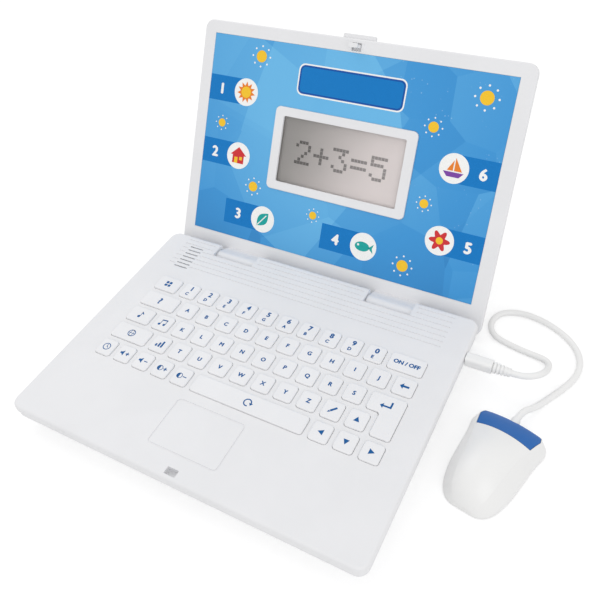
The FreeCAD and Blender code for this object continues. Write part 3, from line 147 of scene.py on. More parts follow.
class Paint:
    """The nodes of a material or of the surroundings."""

    def __init__(self, name: str, surroundings: bool = False) -> None:
        """Start an empty material, or empty surroundings.

        Args:
            name: its name.
            surroundings: whether it paints the surroundings.
        """
        self.owner = (bpy.data.worlds if surroundings else bpy.data.materials).new(name)
        self.owner.use_nodes = True
        self.output = "ShaderNodeOutputWorld" if surroundings else "ShaderNodeOutputMaterial"
        self.tree = self.owner.node_tree
        self.tree.nodes.clear()

    def node(self, kind: str, settings: dict | None = None, inputs: dict | None = None,
             output: int | str = 0) -> Field:
        """Add one node.

        Args:
            kind: the node's type.
            settings: its properties, set first; a ramp's stops are pairs of place and colour.
            inputs: values or fields by socket name or number.
            output: the number or name of the output to return.

        Returns:
            The chosen output.
        """
        made = self.tree.nodes.new(kind)
        for name, value in (settings or {}).items():
            if name == "stops":
                self._set_stops(made.color_ramp, value)
            else:
                setattr(made, name, value)
        for name, value in (inputs or {}).items():
            if isinstance(value, Field):
                self.tree.links.new(value.socket, made.inputs[name])
            else:
                made.inputs[name].default_value = value
        return Field(self, made.outputs[output] if len(made.outputs) else None)

    @staticmethod
    def _set_stops(ramp: bpy.types.ColorRamp, stops: Sequence[tuple[float, Colour]]) -> None:
        """Give a ramp its stops.

        Args:
            ramp: the ramp.
            stops: pairs of place and colour.
        """
        while len(ramp.elements) < len(stops):
            ramp.elements.new(1.0)
        for element, (place, colour) in zip(ramp.elements, stops):
            element.position = place
            element.color = (*colour, 1.0)

    def position(self) -> Field:
        """Give the place on the piece, in metres."""
        return self.node("ShaderNodeTexCoord", output="Object")

    def along(self, direction: Sequence[float], origin: Sequence[float]) -> Field:
        """Measure along a direction from an origin.

        Args:
            direction: a unit vector.
            origin: where the measure is zero.

        Returns:
            The distance, in metres.
        """
        offset = {0: self.position(), 1: tuple(origin)}
        moved = self.node("ShaderNodeVectorMath", {"operation": "SUBTRACT"}, offset)
        pair = {0: moved, 1: tuple(direction)}
        return self.node("ShaderNodeVectorMath", {"operation": "DOT_PRODUCT"}, pair, output="Value")

    def cells(self, size: float) -> Field:
        """Give each of many straight-edged cells, of about one size, a value of its own.

        Args:
            size: a cell's size, in metres.

        Returns:
            A value from 0 to 1.
        """
        inputs = {"Vector": self.position(), "Scale": 1.0 / size}
        colour = self.node("ShaderNodeTexVoronoi", None, inputs, output="Color")
        return self.node("ShaderNodeSeparateColor", None, {0: colour})

    def seen(self) -> Field:
        """Tell what the eye sees from what only lights.

        Returns:
            1 for what is seen straight, mirrored or through glass, and 0 for the rest.
        """
        ways = ("Is Camera Ray", "Is Glossy Ray", "Is Transmission Ray")
        straight, mirrored, through = (self.node("ShaderNodeLightPath", output=way) for way in ways)
        return straight.math("MAXIMUM", mirrored).math("MAXIMUM", through)

    def noise(self, size: float, detail: float = 2.0, roughness: float = 0.5) -> Field:
        """Give noise whose lumps are about one size.

        Args:
            size: a lump's size, in metres.
            detail: how many finer layers it has.
            roughness: how strong those are.

        Returns:
            A value from 0 to 1.
        """
        scale = 1.0 / size
        inputs = {"Vector": self.position(), "Scale": scale, "Detail": detail, "Roughness": roughness}
        return self.node("ShaderNodeTexNoise", None, inputs)

    def mix(self, factor: Value, first: Field | Colour, second: Field | Colour) -> Field:
        """Blend two colours, by the numbers of the Mix node's colour sockets.

        Args:
            factor: how much of the second shows.
            first: the first colour.
            second: the second colour.

        Returns:
            The blended colour.
        """
        factor_input, first_input, second_input, colour_output = 0, 6, 7, 2
        colours = [c if isinstance(c, Field) else (*c, 1.0) for c in (first, second)]
        inputs = {factor_input: factor, first_input: colours[0], second_input: colours[1]}
        return self.node("ShaderNodeMix", {"data_type": "RGBA"}, inputs, output=colour_output)

    def bump(self, height: Field, distance: float) -> Field:
        """Turn a height from 0 to 1 into a bumped normal, for a relief of that distance."""
        inputs = {"Height": height, "Distance": distance, "Strength": 1.0}
        return self.node("ShaderNodeBump", None, inputs)

    def finish(self, shader: Field) -> bpy.types.ID:
        """Send a shader to the output."""
        self.node(self.output, None, {"Surface": shader})
        return self.owner

    def surface(self, **inputs: Value | Colour) -> bpy.types.Material:
        """Finish with a Principled shader.

        Args:
            inputs: values or fields by socket name, with _ for each space.

        Returns:
            The material.
        """
        named = {name.replace("_", " "): value for name, value in inputs.items()}
        colour = named.get("Base Color")
        if isinstance(colour, tuple):
            named["Base Color"] = (*colour, 1.0)
        return self.finish(self.node("ShaderNodeBsdfPrincipled", None, named))


@dataclass(frozen=True)
class Moulding:
    """Moulded plastic or rubber: a fine eroded grain, slight clouding and a soft gloss.

    Attributes:
        name: the material's name.
        colour: its colour.
        roughness: its mean roughness.
        grain: the grain's size, in metres.
        relief: the grain's height, in metres.
        clouding: how far its colour drifts.
        specular: how strong its gloss is.
        cloud: a cloud's size, in metres.
        patch: the size of a worn patch, in metres.
        worn: how far the roughness drifts from patch to patch.
        grained: how far the roughness drifts with the grain.
    """

    name: str
    colour: Colour
    roughness: float = 0.42
    grain: float = 0.45 * MM
    relief: float = 0.012 * MM
    clouding: float = 0.02
    specular: float = 0.45
    cloud: float = 38 * MM
    patch: float = 9 * MM
    worn: float = 0.07
    grained: float = 0.05

    def material(self) -> bpy.types.Material:
        """Make the material.

        Returns:
            The material.
        """
        paint = Paint(self.name)
        cloud = paint.noise(self.cloud, detail=3.0)
        dull = tuple(c * (1.0 - self.clouding) for c in self.colour)
        grain = paint.noise(self.grain, detail=3.0, roughness=0.6)
        worn = self.worn * paint.noise(self.patch, detail=3.0).centred()
        return paint.surface(
            Base_Color=paint.mix(cloud.step(0.35, 0.65), self.colour, dull),
            Roughness=self.roughness + worn + self.grained * grain.centred(),
            Specular_IOR_Level=self.specular,
            Normal=paint.bump(grain, self.relief),
        )


@dataclass(frozen=True)
class Ink:
    """A printed ink: flat colour with the slight mottling of a pad print.

    Attributes:
        name: the material's name.
        colour: its colour.
        roughness: its mean roughness.
        specular: how strong its gloss is.
        spot: the size of a pale spot, in metres.
        lift: how many times paler a spot is.
        veil: what shines through a spot.
        drift: how far the roughness drifts.
    """

    name: str
    colour: Colour
    roughness: float = 0.5
    specular: float = 0.2
    spot: float = 0.6 * MM
    lift: float = 1.12
    veil: float = 0.004
    drift: float = 0.08

    def material(self) -> bpy.types.Material:
        """Make the material.

        Returns:
            The material.
        """
        paint = Paint(self.name)
        mottle = paint.noise(self.spot, detail=3.0)
        pale = tuple(min(1.0, c * self.lift + self.veil) for c in self.colour)
        return paint.surface(
            Base_Color=paint.mix(mottle.step(0.4, 0.75), self.colour, pale),
            Roughness=self.roughness + self.drift * mottle.centred(),
            Specular_IOR_Level=self.specular,
        )


@dataclass(frozen=True)
class Metal:
    """Plated metal with fine turning marks and faint stains.

    Attributes:
        name: the material's name.
        colour: its colour.
        roughness: its mean roughness.
        stain: a stain's size, in metres.
        stained: how much of its colour a stain keeps.
        mark: a turning mark's size, in metres.
        relief: a turning mark's height, in metres.
        dulled: how far the roughness drifts with the stains.
        scored: how far the roughness drifts with the marks.
    """

    name: str
    colour: Colour
    roughness: float = 0.3
    stain: float = 3 * MM
    stained: float = 0.8
    mark: float = 0.15 * MM
    relief: float = 0.004 * MM
    dulled: float = 0.2
    scored: float = 0.08

    def material(self) -> bpy.types.Material:
        """Make the material.

        Returns:
            The material.
        """
        paint = Paint(self.name)
        stain = paint.noise(self.stain, detail=4.0)
        marks = paint.noise(self.mark)
        dark = tuple(c * self.stained for c in self.colour)
        drift = self.dulled * stain.centred() + self.scored * marks.centred()
        return paint.surface(
            Base_Color=paint.mix(stain.step(0.4, 0.7), self.colour, dark),
            Metallic=1.0,
            Roughness=self.roughness + drift,
            Normal=paint.bump(marks, self.relief),
        )


class Finish(Enum):
    """The finishes, each shared by the pieces that have it."""

    SHELL = Moulding("shell_white", (0.83, 0.83, 0.845))
    KEY = Moulding("key_plastic", (0.86, 0.86, 0.875), 0.46, 0.35 * MM, 0.008 * MM)
    MOUSE = Moulding("mouse_white", (0.87, 0.868, 0.862), 0.3, 0.5 * MM, 0.006 * MM)
    BUTTON = Moulding("button_plastic", (0.035, 0.15, 0.45), 0.4, 0.5 * MM, 0.008 * MM, 0.06, 0.12)
    CORD = Moulding("cord_sleeve", (0.89, 0.888, 0.882), 0.48, 0.6 * MM, 0.01 * MM)
    FOOT = Moulding("foot_grip", (0.3, 0.3, 0.31), 0.75, 0.3 * MM, 0.02 * MM)
    MAT = Moulding("mat_sheet", (0.5, 0.51, 0.53), 0.6, 0.5 * MM, 0.01 * MM)
    PAD = Moulding("pad_plastic", (0.45, 0.45, 0.47), 0.4, 0.4 * MM, 0.01 * MM)
    DARK = Moulding("dark_plastic", (0.03, 0.03, 0.033), 0.5, 0.4 * MM, 0.012 * MM, 0.1)
    BOARD = Moulding("circuit_board", (0.03, 0.16, 0.06), 0.35, 1.2 * MM, 0.02 * MM, 0.15)
    CELL = Moulding("cell_sleeve", (0.12, 0.3, 0.27), 0.3, 1.5 * MM, 0.004 * MM, 0.1)
    STEEL = Metal("plated_steel", (0.62, 0.62, 0.63))
    KEY_INK = Ink("key_ink", (0.003, 0.1, 0.31))
    PRINT_WHITE = Ink("print_white", (0.9, 0.9, 0.88))
    PRINT_NAVY = Ink("print_navy", (0.004, 0.085, 0.36))
    PRINT_BAND = Ink("print_band", (0.003, 0.185, 0.53))
    PRINT_YELLOW = Ink("print_yellow", (0.9, 0.55, 0.03))
    PRINT_ORANGE = Ink("print_orange", (0.8, 0.22, 0.03))
    PRINT_RED = Ink("print_red", (0.62, 0.035, 0.04))
    PRINT_TEAL = Ink("print_teal", (0.01, 0.36, 0.33))
    PRINT_PURPLE = Ink("print_purple", (0.2, 0.06, 0.36))

    def material(self) -> bpy.types.Material:
        """Give the finish's material, made once, under a name that no packed material has."""
        return bpy.data.materials.get(self.value.name) or self.value.material()


Layers = list[tuple[Finish, Outlines]]


class Patch(NamedTuple):
    """Points and faces of a piece in the making."""

    points: np.ndarray
    faces: list[tuple[int, ...]]


def join(patches: Sequence[Patch]) -> Patch:
    """Put patches together into one.

    Args:
        patches: the patches.

    Returns:
        One patch with all their points and faces.
    """
    starts = np.cumsum([0] + [len(p.points) for p in patches])
    faces = [tuple(np.add(f, start)) for p, start in zip(patches, starts) for f in p.faces]
    return Patch(np.concatenate([p.points for p in patches]), faces)


def piece(name: str, patch: Patch, material: bpy.types.Material, body: str) -> None:
    """Make a piece that rides on a body.

    Args:
        name: the piece's name.
        patch: its points and faces, in place.
        material: its material.
        body: the body that carries it.
    """
    mesh = bpy.data.meshes.new(name)
    mesh.from_pydata(patch.points.tolist(), [], [tuple(int(i) for i in f) for f in patch.faces])
    mesh.validate()
    mesh.update()
    mesh.materials.append(material)
    made = bpy.data.objects.new(name, mesh)
    bpy.context.scene.collection.objects.link(made)
    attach(made, body)
    LOG.info("%s: %d faces on %s", name, len(mesh.polygons), body)


def circle(x: float, y: float, radius: float, count: int = 40) -> np.ndarray:
    """Give a circle's outline: equal turns about its middle."""
    turn = np.linspace(0.0, 2 * np.pi, count, endpoint=False)
    return np.stack([x + radius * np.cos(turn), y + radius * np.sin(turn)], axis=1)


def arc_band(x: float, y: float, radius: float, width: float, low: float, high: float) -> np.ndarray:
    """Give the outline of a band along an arc: out along its outer edge and back along its inner one.

    Args:
        x: the arc's middle across.
        y: the arc's middle up.
        radius: the arc's radius.
        width: the band's width.
        low: where it starts, in degrees.
        high: where it ends, in degrees.

    Returns:
        The outline's points.
    """
    turn = np.radians(np.linspace(low, high, ARC_POINTS))
    arc = np.stack([np.cos(turn), np.sin(turn)], axis=1)
    outer, inner = (radius + width / 2) * arc, (radius - width / 2) * arc
    return np.concatenate([outer, inner[::-1]]) + (x, y)


def ring(x: float, y: float, radius: float, width: float) -> Outlines:
    """Give a ring's outline as two half bands."""
    return [arc_band(x, y, radius, width, 0, 180), arc_band(x, y, radius, width, 180, 360)]


def bar(start: Sequence[float], end: Sequence[float], width: float) -> np.ndarray:
    """Give the outline of a straight bar: its two sides, half a width from its middle line.

    Args:
        start: one end of its middle line.
        end: the other end.
        width: its width.

    Returns:
        The outline's corners.
    """
    first, last = np.array(start, float), np.array(end, float)
    along = (last - first) / np.linalg.norm(last - first)
    across = np.array([-along[1], along[0]]) * width / 2
    return np.array([first - across, last - across, last + across, first + across])


def rounded_box(x: float, y: float, width: float, height: float, radius: float) -> np.ndarray:
    """Give a rounded rectangle's outline: a quarter circle about each corner's middle.

    Args:
        x: its middle across.
        y: its middle up.
        width: its width.
        height: its height.
        radius: its corners' radius.

    Returns:
        The outline's points.
    """
    quarter = np.radians(np.linspace(0, 90, CORNER_POINTS))
    turn = quarter[None, :] + np.radians([0, 90, 180, 270])[:, None]
    signs = np.array([(1, 1), (-1, 1), (-1, -1), (1, -1)], float)
    middles = signs * (width / 2 - radius, height / 2 - radius)
    points = middles[:, None, :] + radius * np.stack([np.cos(turn), np.sin(turn)], axis=2)
    return points.reshape(-1, 2) + (x, y)


def star(x: float, y: float, radius: float, inner: float, points: int) -> np.ndarray:
    """Give a star's outline: corners at two radii in turn.

    Args:
        x: its middle across.
        y: its middle up.
        radius: the outer corners' radius.
        inner: the inner corners' radius, as a share of that.
        points: how many points it has.

    Returns:
        The outline's corners.
    """
    turn = np.pi / 2 + np.arange(2 * points) * np.pi / points
    reach = np.where(np.arange(2 * points) % 2 == 0, radius, radius * inner)
    return np.stack([x + reach * np.cos(turn), y + reach * np.sin(turn)], axis=1)


def prism(outline: np.ndarray, low: float, high: float) -> Patch:
    """Raise an outline into a thin prism between two heights.

    Args:
        outline: the outline's points.
        low: the underside's height.
        high: the top's height.

    Returns:
        The prism: its underside, its top and a side for each edge.
    """
    count = len(outline)
    points = np.concatenate([np.c_[outline, np.full(count, z)] for z in (low, high)])
    corner = np.arange(count)
    after = (corner + 1) % count
    sides = np.stack([corner, after, after + count, corner + count], axis=1)
    faces = [tuple(corner[::-1]), tuple(corner + count), *map(tuple, sides)]
    return Patch(points, faces)


class Lettering:
    """Plain letters and figures as thin solids, made from the built-in typeface.

    Attributes:
        capital: a capital's height, in the typeface's own units.
        weight: how far aside a strike stands, in those units.
        strikes: the place of each strike, in weights.
        layer: how much higher each strike stands than the last.
        depth: how far the letters are raised before they get their underside and top.
        fineness: how many steps a letter's curves have.
    """

    capital: float = 0.72
    weight: float = 0.05
    strikes: tuple[tuple[float, float], ...] = ((0, 0), (1, 0), (-1, 0), (0, 0.8), (0, -0.8))
    layer: float = 0.003 * MM
    depth: float = 0.1
    fineness: int = 3

    @classmethod
    def write(cls, text: str, height: float, x: float, y: float, low: float, high: float) -> Patch:
        """Write text centred on a point.

        The typeface is thin, so it is struck five times, a little aside and a layer higher each time.

        Args:
            text: the characters.
            height: a capital's height, in metres.
            x: its middle across.
            y: its middle up.
            low: the letters' underside.
            high: the letters' top.

        Returns:
            The letters' points and faces.
        """
        curve = bpy.data.curves.new("lettering", "FONT")
        curve.body = text
        curve.extrude = cls.depth
        curve.resolution_u = cls.fineness
        holder = bpy.data.objects.new("lettering", curve)
        mesh = bpy.data.meshes.new_from_object(holder)
        flat = np.empty(len(mesh.vertices) * 3)
        mesh.vertices.foreach_get("co", flat)
        points = flat.reshape(-1, 3)
        faces = [tuple(p.vertices) for p in mesh.polygons]
        bpy.data.objects.remove(holder)
        bpy.data.curves.remove(curve)
        bpy.data.meshes.remove(mesh)
        span = points.max(axis=0) + points.min(axis=0)
        scale = height / cls.capital
        points[:, 0] = (points[:, 0] - span[0] / 2) * scale + x
        points[:, 1] = (points[:, 1] - cls.capital / 2) * scale + y
        points[:, 2] = np.where(points[:, 2] > 0, high, low)
        aside = cls.weight * scale
        return join([Patch(points + (a * aside, b * aside, n * cls.layer), faces)
                     for n, (a, b) in enumerate(cls.strikes)])


class Lamp(NamedTuple):
    """A square lamp that faces the object.

    Attributes:
        name: its name.
        place: where it hangs.
        size: its side.
        power: its power, in watts.
    """

    name: str
    place: Point
    size: float
    power: float


def grey(level: float) -> tuple[float, float, float, float]:
    """Give an even colour of one level."""
    return (level, level, level, 1.0)


@dataclass
class Stage:
    """The pale floor, the soft light and the camera of the photograph.

    Attributes:
        eye: the camera's place.
        right: the picture's direction to the right.
        down: the picture's direction down.
        forward: the camera's direction of view.
        focal: the focal length, in widths of the picture.
        rise: how far the picture's middle is shifted, in widths of the picture.
        sensor: the width of the camera's picture, in millimetres.
        near: how near the camera begins to see.
        floor_half: half the floor's width.
        floor_shadow: how much of the light, and so of the shadow, the seen floor shows.
        floor_glow: what the seen floor adds to that, so that it is white away from the object.
        floor_shade: how pale the floor is to the object.
        even_light: how strong the surroundings light the object.
        lamps: one on the left, a little behind, and one on the right in front.
        aim: where the lamps point.
    """

    eye: Point = (0.23694, -0.26791, 0.44164)
    right: Point = (0.87555633, 0.47261226, -0.10019364)
    down: Point = (0.24340294, -0.61067676, -0.75354423)
    forward: Point = (-0.41732016, 0.635383, -0.64971712)
    focal: float = 715.1 / 600
    rise: float = -0.1
    sensor: float = 36.0
    near: float = 0.01
    floor_half: float = 4.0
    floor_shadow: float = 0.6
    floor_glow: float = 0.5
    floor_shade: float = 0.8
    even_light: float = 0.8
    lamps: tuple[Lamp, ...] = (
        Lamp("lamp_left", (-0.75, 0.35, 1.15), 0.9, 2.5),
        Lamp("lamp_right", (0.9, -0.9, 0.9), 1.2, 4.5),
    )
    aim: Point = (0.0, 0.0, 0.05)

    def build(self) -> None:
        """Make the floor, the lights and the camera."""
        self._floor()
        self._world()
        for lamp in self.lamps:
            self._hang(lamp)
        self._camera()

    def _floor(self) -> None:
        """Lay the floor: white to the eye, with the object's soft shadow left on it."""
        mesh = bpy.data.meshes.new("floor")
        half = self.floor_half
        corners = [(-half, -half, 0.0), (half, -half, 0.0), (half, half, 0.0), (-half, half, 0.0)]
        mesh.from_pydata(corners, [], [(0, 1, 2, 3)])
        paint = Paint("floor_white")
        shadow = paint.node("ShaderNodeBsdfDiffuse", None, {"Color": grey(self.floor_shadow)})
        glow = paint.node("ShaderNodeEmission", None, {"Color": grey(self.floor_glow)})
        shown = paint.node("ShaderNodeAddShader", None, {0: shadow, 1: glow})
        hidden = paint.node("ShaderNodeBsdfDiffuse", None, {"Color": grey(self.floor_shade)})
        ways = {0: paint.seen(), 1: hidden, 2: shown}
        mesh.materials.append(paint.finish(paint.node("ShaderNodeMixShader", None, ways)))
        floor = bpy.data.objects.new("floor", mesh)
        bpy.context.scene.collection.objects.link(floor)

    def _world(self) -> None:
        """Make the surroundings white to the eye and in reflections, and a plain even light."""
        paint = Paint("studio", surroundings=True)
        strength = self.even_light + (1.0 - self.even_light) * paint.seen()
        inputs = {"Color": grey(1.0), "Strength": strength}
        bpy.context.scene.world = paint.finish(paint.node("ShaderNodeBackground", None, inputs))

    def _hang(self, lamp: Lamp) -> None:
        """Hang a lamp and turn it to the object.

        Args:
            lamp: the lamp.
        """
        light = bpy.data.lights.new(lamp.name, "AREA")
        light.size = lamp.size
        light.energy = lamp.power
        holder = bpy.data.objects.new(lamp.name, light)
        back = np.subtract(lamp.place, self.aim)
        back /= np.linalg.norm(back)
        side = np.cross((0.0, 1.0, 0.0), back)
        side /= np.linalg.norm(side)
        turn = Matrix(np.stack([side, np.cross(back, side), back], axis=1).tolist())
        holder.matrix_world = Matrix.Translation(lamp.place) @ turn.to_4x4()
        bpy.context.scene.collection.objects.link(holder)

    def _camera(self) -> None:
        """Set the camera as the photograph was taken."""
        lens = bpy.data.cameras.new("camera")
        lens.sensor_width = self.sensor
        lens.lens = self.focal * self.sensor
        lens.shift_y = self.rise
        lens.clip_start = self.near
        holder = bpy.data.objects.new("camera", lens)
        axes = np.array([self.right, np.negative(self.down), np.negative(self.forward)]).T
        holder.matrix_world = Matrix.Translation(self.eye) @ Matrix(axes.tolist()).to_4x4()
        bpy.context.scene.collection.objects.link(holder)
        bpy.context.scene.camera = holder
        bpy.context.scene.view_settings.view_transform = "Standard"


@dataclass
class MouseCord:
    """The mouse's limp cord, from the mouse's relief round to the plug in the laptop's side.

    Attributes:
        diameter: the cord's thickness.
        length: its length as the photograph shows it; not used.
        plug_end: where it leaves the plug's relief, and the first corner straight out of it.
        mouse_end: the last corner, straight before the mouse's relief, and where it enters that.
        route: the corners between, each from the table under the base's right back corner.
        bend_start: where the bend between plug and mouse begins; not used.
        order: the order of the line's curve; 3 is made of arcs that touch the route's sides.
        steps: how many steps the line makes from corner to corner.
        roundness: how finely the cord is rounded.
    """

    diameter: float = 4.8 * MM
    length: float = 0.289
    plug_end: tuple[Point, ...] = ((0.1783, 0.0715, 0.0210), (0.1847, 0.0715, 0.0210))
    mouse_end: tuple[Point, ...] = ((0.1931, 0.0522, 0.0080), (0.19153, 0.04338, 0.0080))
    route: tuple[Point, ...] = (
        (0.0458, -0.0326, 0.0205),
        (0.0506, -0.0283, 0.0190),
        (0.0535, -0.0228, 0.0163),
        (0.0548, -0.0154, 0.0114),
        (0.0549, -0.0071, 0.0058),
        (0.0543, -0.0012, 0.0029),
        (0.0505, 0.0026, 0.0024),
        (0.0414, 0.0034, 0.0024),
        (0.0264, 0.0054, 0.0024),
        (0.0120, 0.0091, 0.0024),
        (0.0064, 0.0137, 0.0024),
        (0.0032, 0.0202, 0.0024),
        (0.0030, 0.0275, 0.0024),
        (0.0058, 0.0342, 0.0024),
        (0.0111, 0.0391, 0.0024),
        (0.0216, 0.0425, 0.0024),
        (0.0350, 0.0417, 0.0024),
        (0.0486, 0.0373, 0.0024),
        (0.0614, 0.0299, 0.0024),
        (0.0710, 0.0195, 0.0024),
        (0.0756, 0.0065, 0.0024),
        (0.0742, -0.0075, 0.0024),
        (0.0678, -0.0211, 0.0024),
        (0.0606, -0.0337, 0.0024),
        (0.0550, -0.0447, 0.0040),
    )
    bend_start: Point = (0.1783, 0.0610, 0.0080)
    order: int = 3
    steps: int = 12
    roundness: int = 6

    def corners(self) -> np.ndarray:
        """Give the whole route from the mouse to the plug, in place."""
        edge = np.array([*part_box("base_top")[1][:2], 0.0])
        return np.concatenate([self.plug_end, edge + self.route, self.mouse_end])[::-1]

    def build(self) -> None:
        """Make the cord as one smooth round line, from the plug to the mouse."""
        curve = bpy.data.curves.new("cord_line", "CURVE")
        curve.dimensions = "3D"
        spline = curve.splines.new("NURBS")
        corners = self.corners()
        spline.points.add(len(corners) - 1)
        spline.points.foreach_set("co", np.c_[corners, np.ones(len(corners))].ravel())
        spline.order_u = self.order
        spline.use_endpoint_u = True
        spline.resolution_u = self.steps
        holder = bpy.data.objects.new("cord_line", curve)
        line = bpy.data.meshes.new_from_object(holder)
        curve.bevel_depth = self.diameter / 2
        curve.bevel_resolution = self.roundness
        curve.use_fill_caps = True
        tube = bpy.data.meshes.new_from_object(holder)
        bpy.data.objects.remove(holder)
        tube.materials.clear()
        tube.materials.append(Finish.CORD.material())
        made = bpy.data.objects.new("cord", tube)
        bpy.context.scene.collection.objects.link(made)
        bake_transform(made)
        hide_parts("mouse_cord")


class Symbol(Enum):
    """The plain signs printed on the function keys."""

    SQUARES = "squares"
    DELETE = "delete"
    NOTE = "note"
    NOTES = "notes"
    ENTER = "enter"
    GLOBE = "globe"
    STEPS = "steps"
    PENCIL = "pencil"
    CLOCK = "clock"
    LOUDER = "louder"
    QUIETER = "quieter"
    LIGHTER = "lighter"
    DARKER = "darker"
    REPEAT = "repeat"
    UP = "up"
    DOWN = "down"
    LEFT = "left"
    RIGHT = "right"

    def outlines(self) -> Outlines:
        """Give the sign's outlines, in a field one unit high about the origin."""
        return getattr(self, "_" + self.value)()

    @staticmethod
    def _squares() -> Outlines:
        """Draw four small squares."""
        return [rounded_box(x, y, 0.4, 0.4, 0.08) for x in (-0.26, 0.26) for y in (-0.26, 0.26)]

    @staticmethod
    def _delete() -> Outlines:
        """Draw an arrow that points left."""
        return [np.array([(-0.55, 0), (-0.1, -0.4), (-0.1, -0.14), (0.6, -0.14), (0.6, 0.14),
                          (-0.1, 0.14), (-0.1, 0.4)])]

    @staticmethod
    def _note() -> Outlines:
        """Draw a single note."""
        flag = np.array([(0.0, 0.55), (0.36, 0.26), (0.36, 0.08), (0.0, 0.33)])
        return [circle(-0.12, -0.34, 0.2), bar((0.04, -0.34), (0.04, 0.55), 0.09), flag]

    @staticmethod
    def _notes() -> Outlines:
        """Draw two notes under a beam.

        Returns:
            The outlines.
        """
        heads = [circle(-0.42, -0.36, 0.18), circle(0.3, -0.3, 0.18)]
        stems = [bar((-0.28, -0.36), (-0.28, 0.42), 0.08), bar((0.44, -0.3), (0.44, 0.48), 0.08)]
        beam = np.array([(-0.32, 0.3), (0.48, 0.38), (0.48, 0.56), (-0.32, 0.48)])
        return [*heads, *stems, beam]

    @staticmethod
    def _enter() -> Outlines:
        """Draw an arrow that turns down and back."""
        return [np.array([(-0.7, -0.2), (-0.3, -0.55), (-0.3, -0.31), (0.7, -0.31), (0.7, 0.55),
                          (0.48, 0.55), (0.48, -0.09), (-0.3, -0.09), (-0.3, 0.15)])]

    @staticmethod
    def _globe() -> Outlines:
        """Draw a globe with a few of its lines.

        Returns:
            The outlines.
        """
        edge = ring(0, 0, 0.5, 0.1)
        slim = [band * (0.45, 1.0) for band in edge]
        return edge + slim + [bar((-0.47, 0), (0.47, 0), 0.08)]

    @staticmethod
    def _steps() -> Outlines:
        """Draw three rising bars."""
        return [bar((x, -0.5), (x, top), 0.26) for x, top in ((-0.4, -0.1), (0.0, 0.2), (0.4, 0.52))]

    @staticmethod
    def _pencil() -> Outlines:
        """Draw a slanted pencil."""
        point = np.array([(-0.5, -0.5), (-0.14, -0.34), (-0.34, -0.14)])
        return [bar((-0.2, -0.2), (0.42, 0.42), 0.26), point]

    @staticmethod
    def _clock() -> Outlines:
        """Draw a clock's face."""
        hands = [bar((0, 0.05), (0, 0.34), 0.09), bar((-0.03, 0.02), (0.24, -0.12), 0.09)]
        return ring(0, 0, 0.48, 0.11) + hands

    @staticmethod
    def _speaker(x: float) -> Outlines:
        """Draw a loudspeaker.

        Args:
            x: its middle across.

        Returns:
            The outlines.
        """
        cone = np.array([(-0.4, -0.15), (-0.18, -0.15), (0.1, -0.42),
                         (0.1, 0.42), (-0.18, 0.15), (-0.4, 0.15)])
        return [cone + (x, 0)]

    @classmethod
    def _louder(cls) -> Outlines:
        """Draw a loudspeaker and a plus."""
        return cls._speaker(-0.25) + cls._plus(0.4)

    @classmethod
    def _quieter(cls) -> Outlines:
        """Draw a loudspeaker and a minus."""
        return cls._speaker(-0.25) + cls._minus(0.4)

    @staticmethod
    def _plus(x: float) -> Outlines:
        """Draw a plus, as its twelve corners.

        Args:
            x: its middle across.

        Returns:
            The outlines.
        """
        arm, half = 0.26, 0.07
        right = [(half, -arm), (half, -half), (arm, -half), (arm, half), (half, half), (half, arm)]
        return [np.array(right + [(-a, -b) for a, b in right]) + (x, 0)]

    @staticmethod
    def _minus(x: float) -> Outlines:
        """Draw a minus."""
        return [bar((x - 0.26, 0), (x + 0.26, 0), 0.12)]

    @staticmethod
    def _half_disc(x: float) -> Outlines:
        """Draw a ring whose left half is full.

        Args:
            x: its middle across.

        Returns:
            The outlines.
        """
        turn = np.radians(np.linspace(90, 270, 24))
        half = 0.34 * np.stack([np.cos(turn), np.sin(turn)], axis=1) + (x, 0)
        return [p + (x, 0) for p in ring(0, 0, 0.36, 0.08)] + [half]

    @classmethod
    def _lighter(cls) -> Outlines:
        """Draw a half-full ring and a plus."""
        return cls._half_disc(-0.3) + cls._plus(0.45)

    @classmethod
    def _darker(cls) -> Outlines:
        """Draw a half-full ring and a minus."""
        return cls._half_disc(-0.3) + cls._minus(0.45)

    @staticmethod
    def _repeat() -> Outlines:
        """Draw an arrow that runs round a circle."""
        head = np.array([(0.2, 0.0), (0.72, 0.0), (0.46, -0.34)])
        return [arc_band(0, 0, 0.46, 0.15, 0, 290), head + (0.0, 0.04)]

    @staticmethod
    def _up() -> Outlines:
        """Draw a triangle that points to the back."""
        return [np.array([(-0.5, -0.42), (0.5, -0.42), (0.0, 0.5)])]

    @classmethod
    def _down(cls) -> Outlines:
        """Draw a triangle that points to the front."""
        return [-cls._up()[0]]

    @classmethod
    def _left(cls) -> Outlines:
        """Draw a triangle that points left."""
        return [cls._up()[0] @ np.array([(0, 1), (-1, 0)])]

    @classmethod
    def _right(cls) -> Outlines:
        """Draw a triangle that points right."""
        return [-cls._left()[0]]


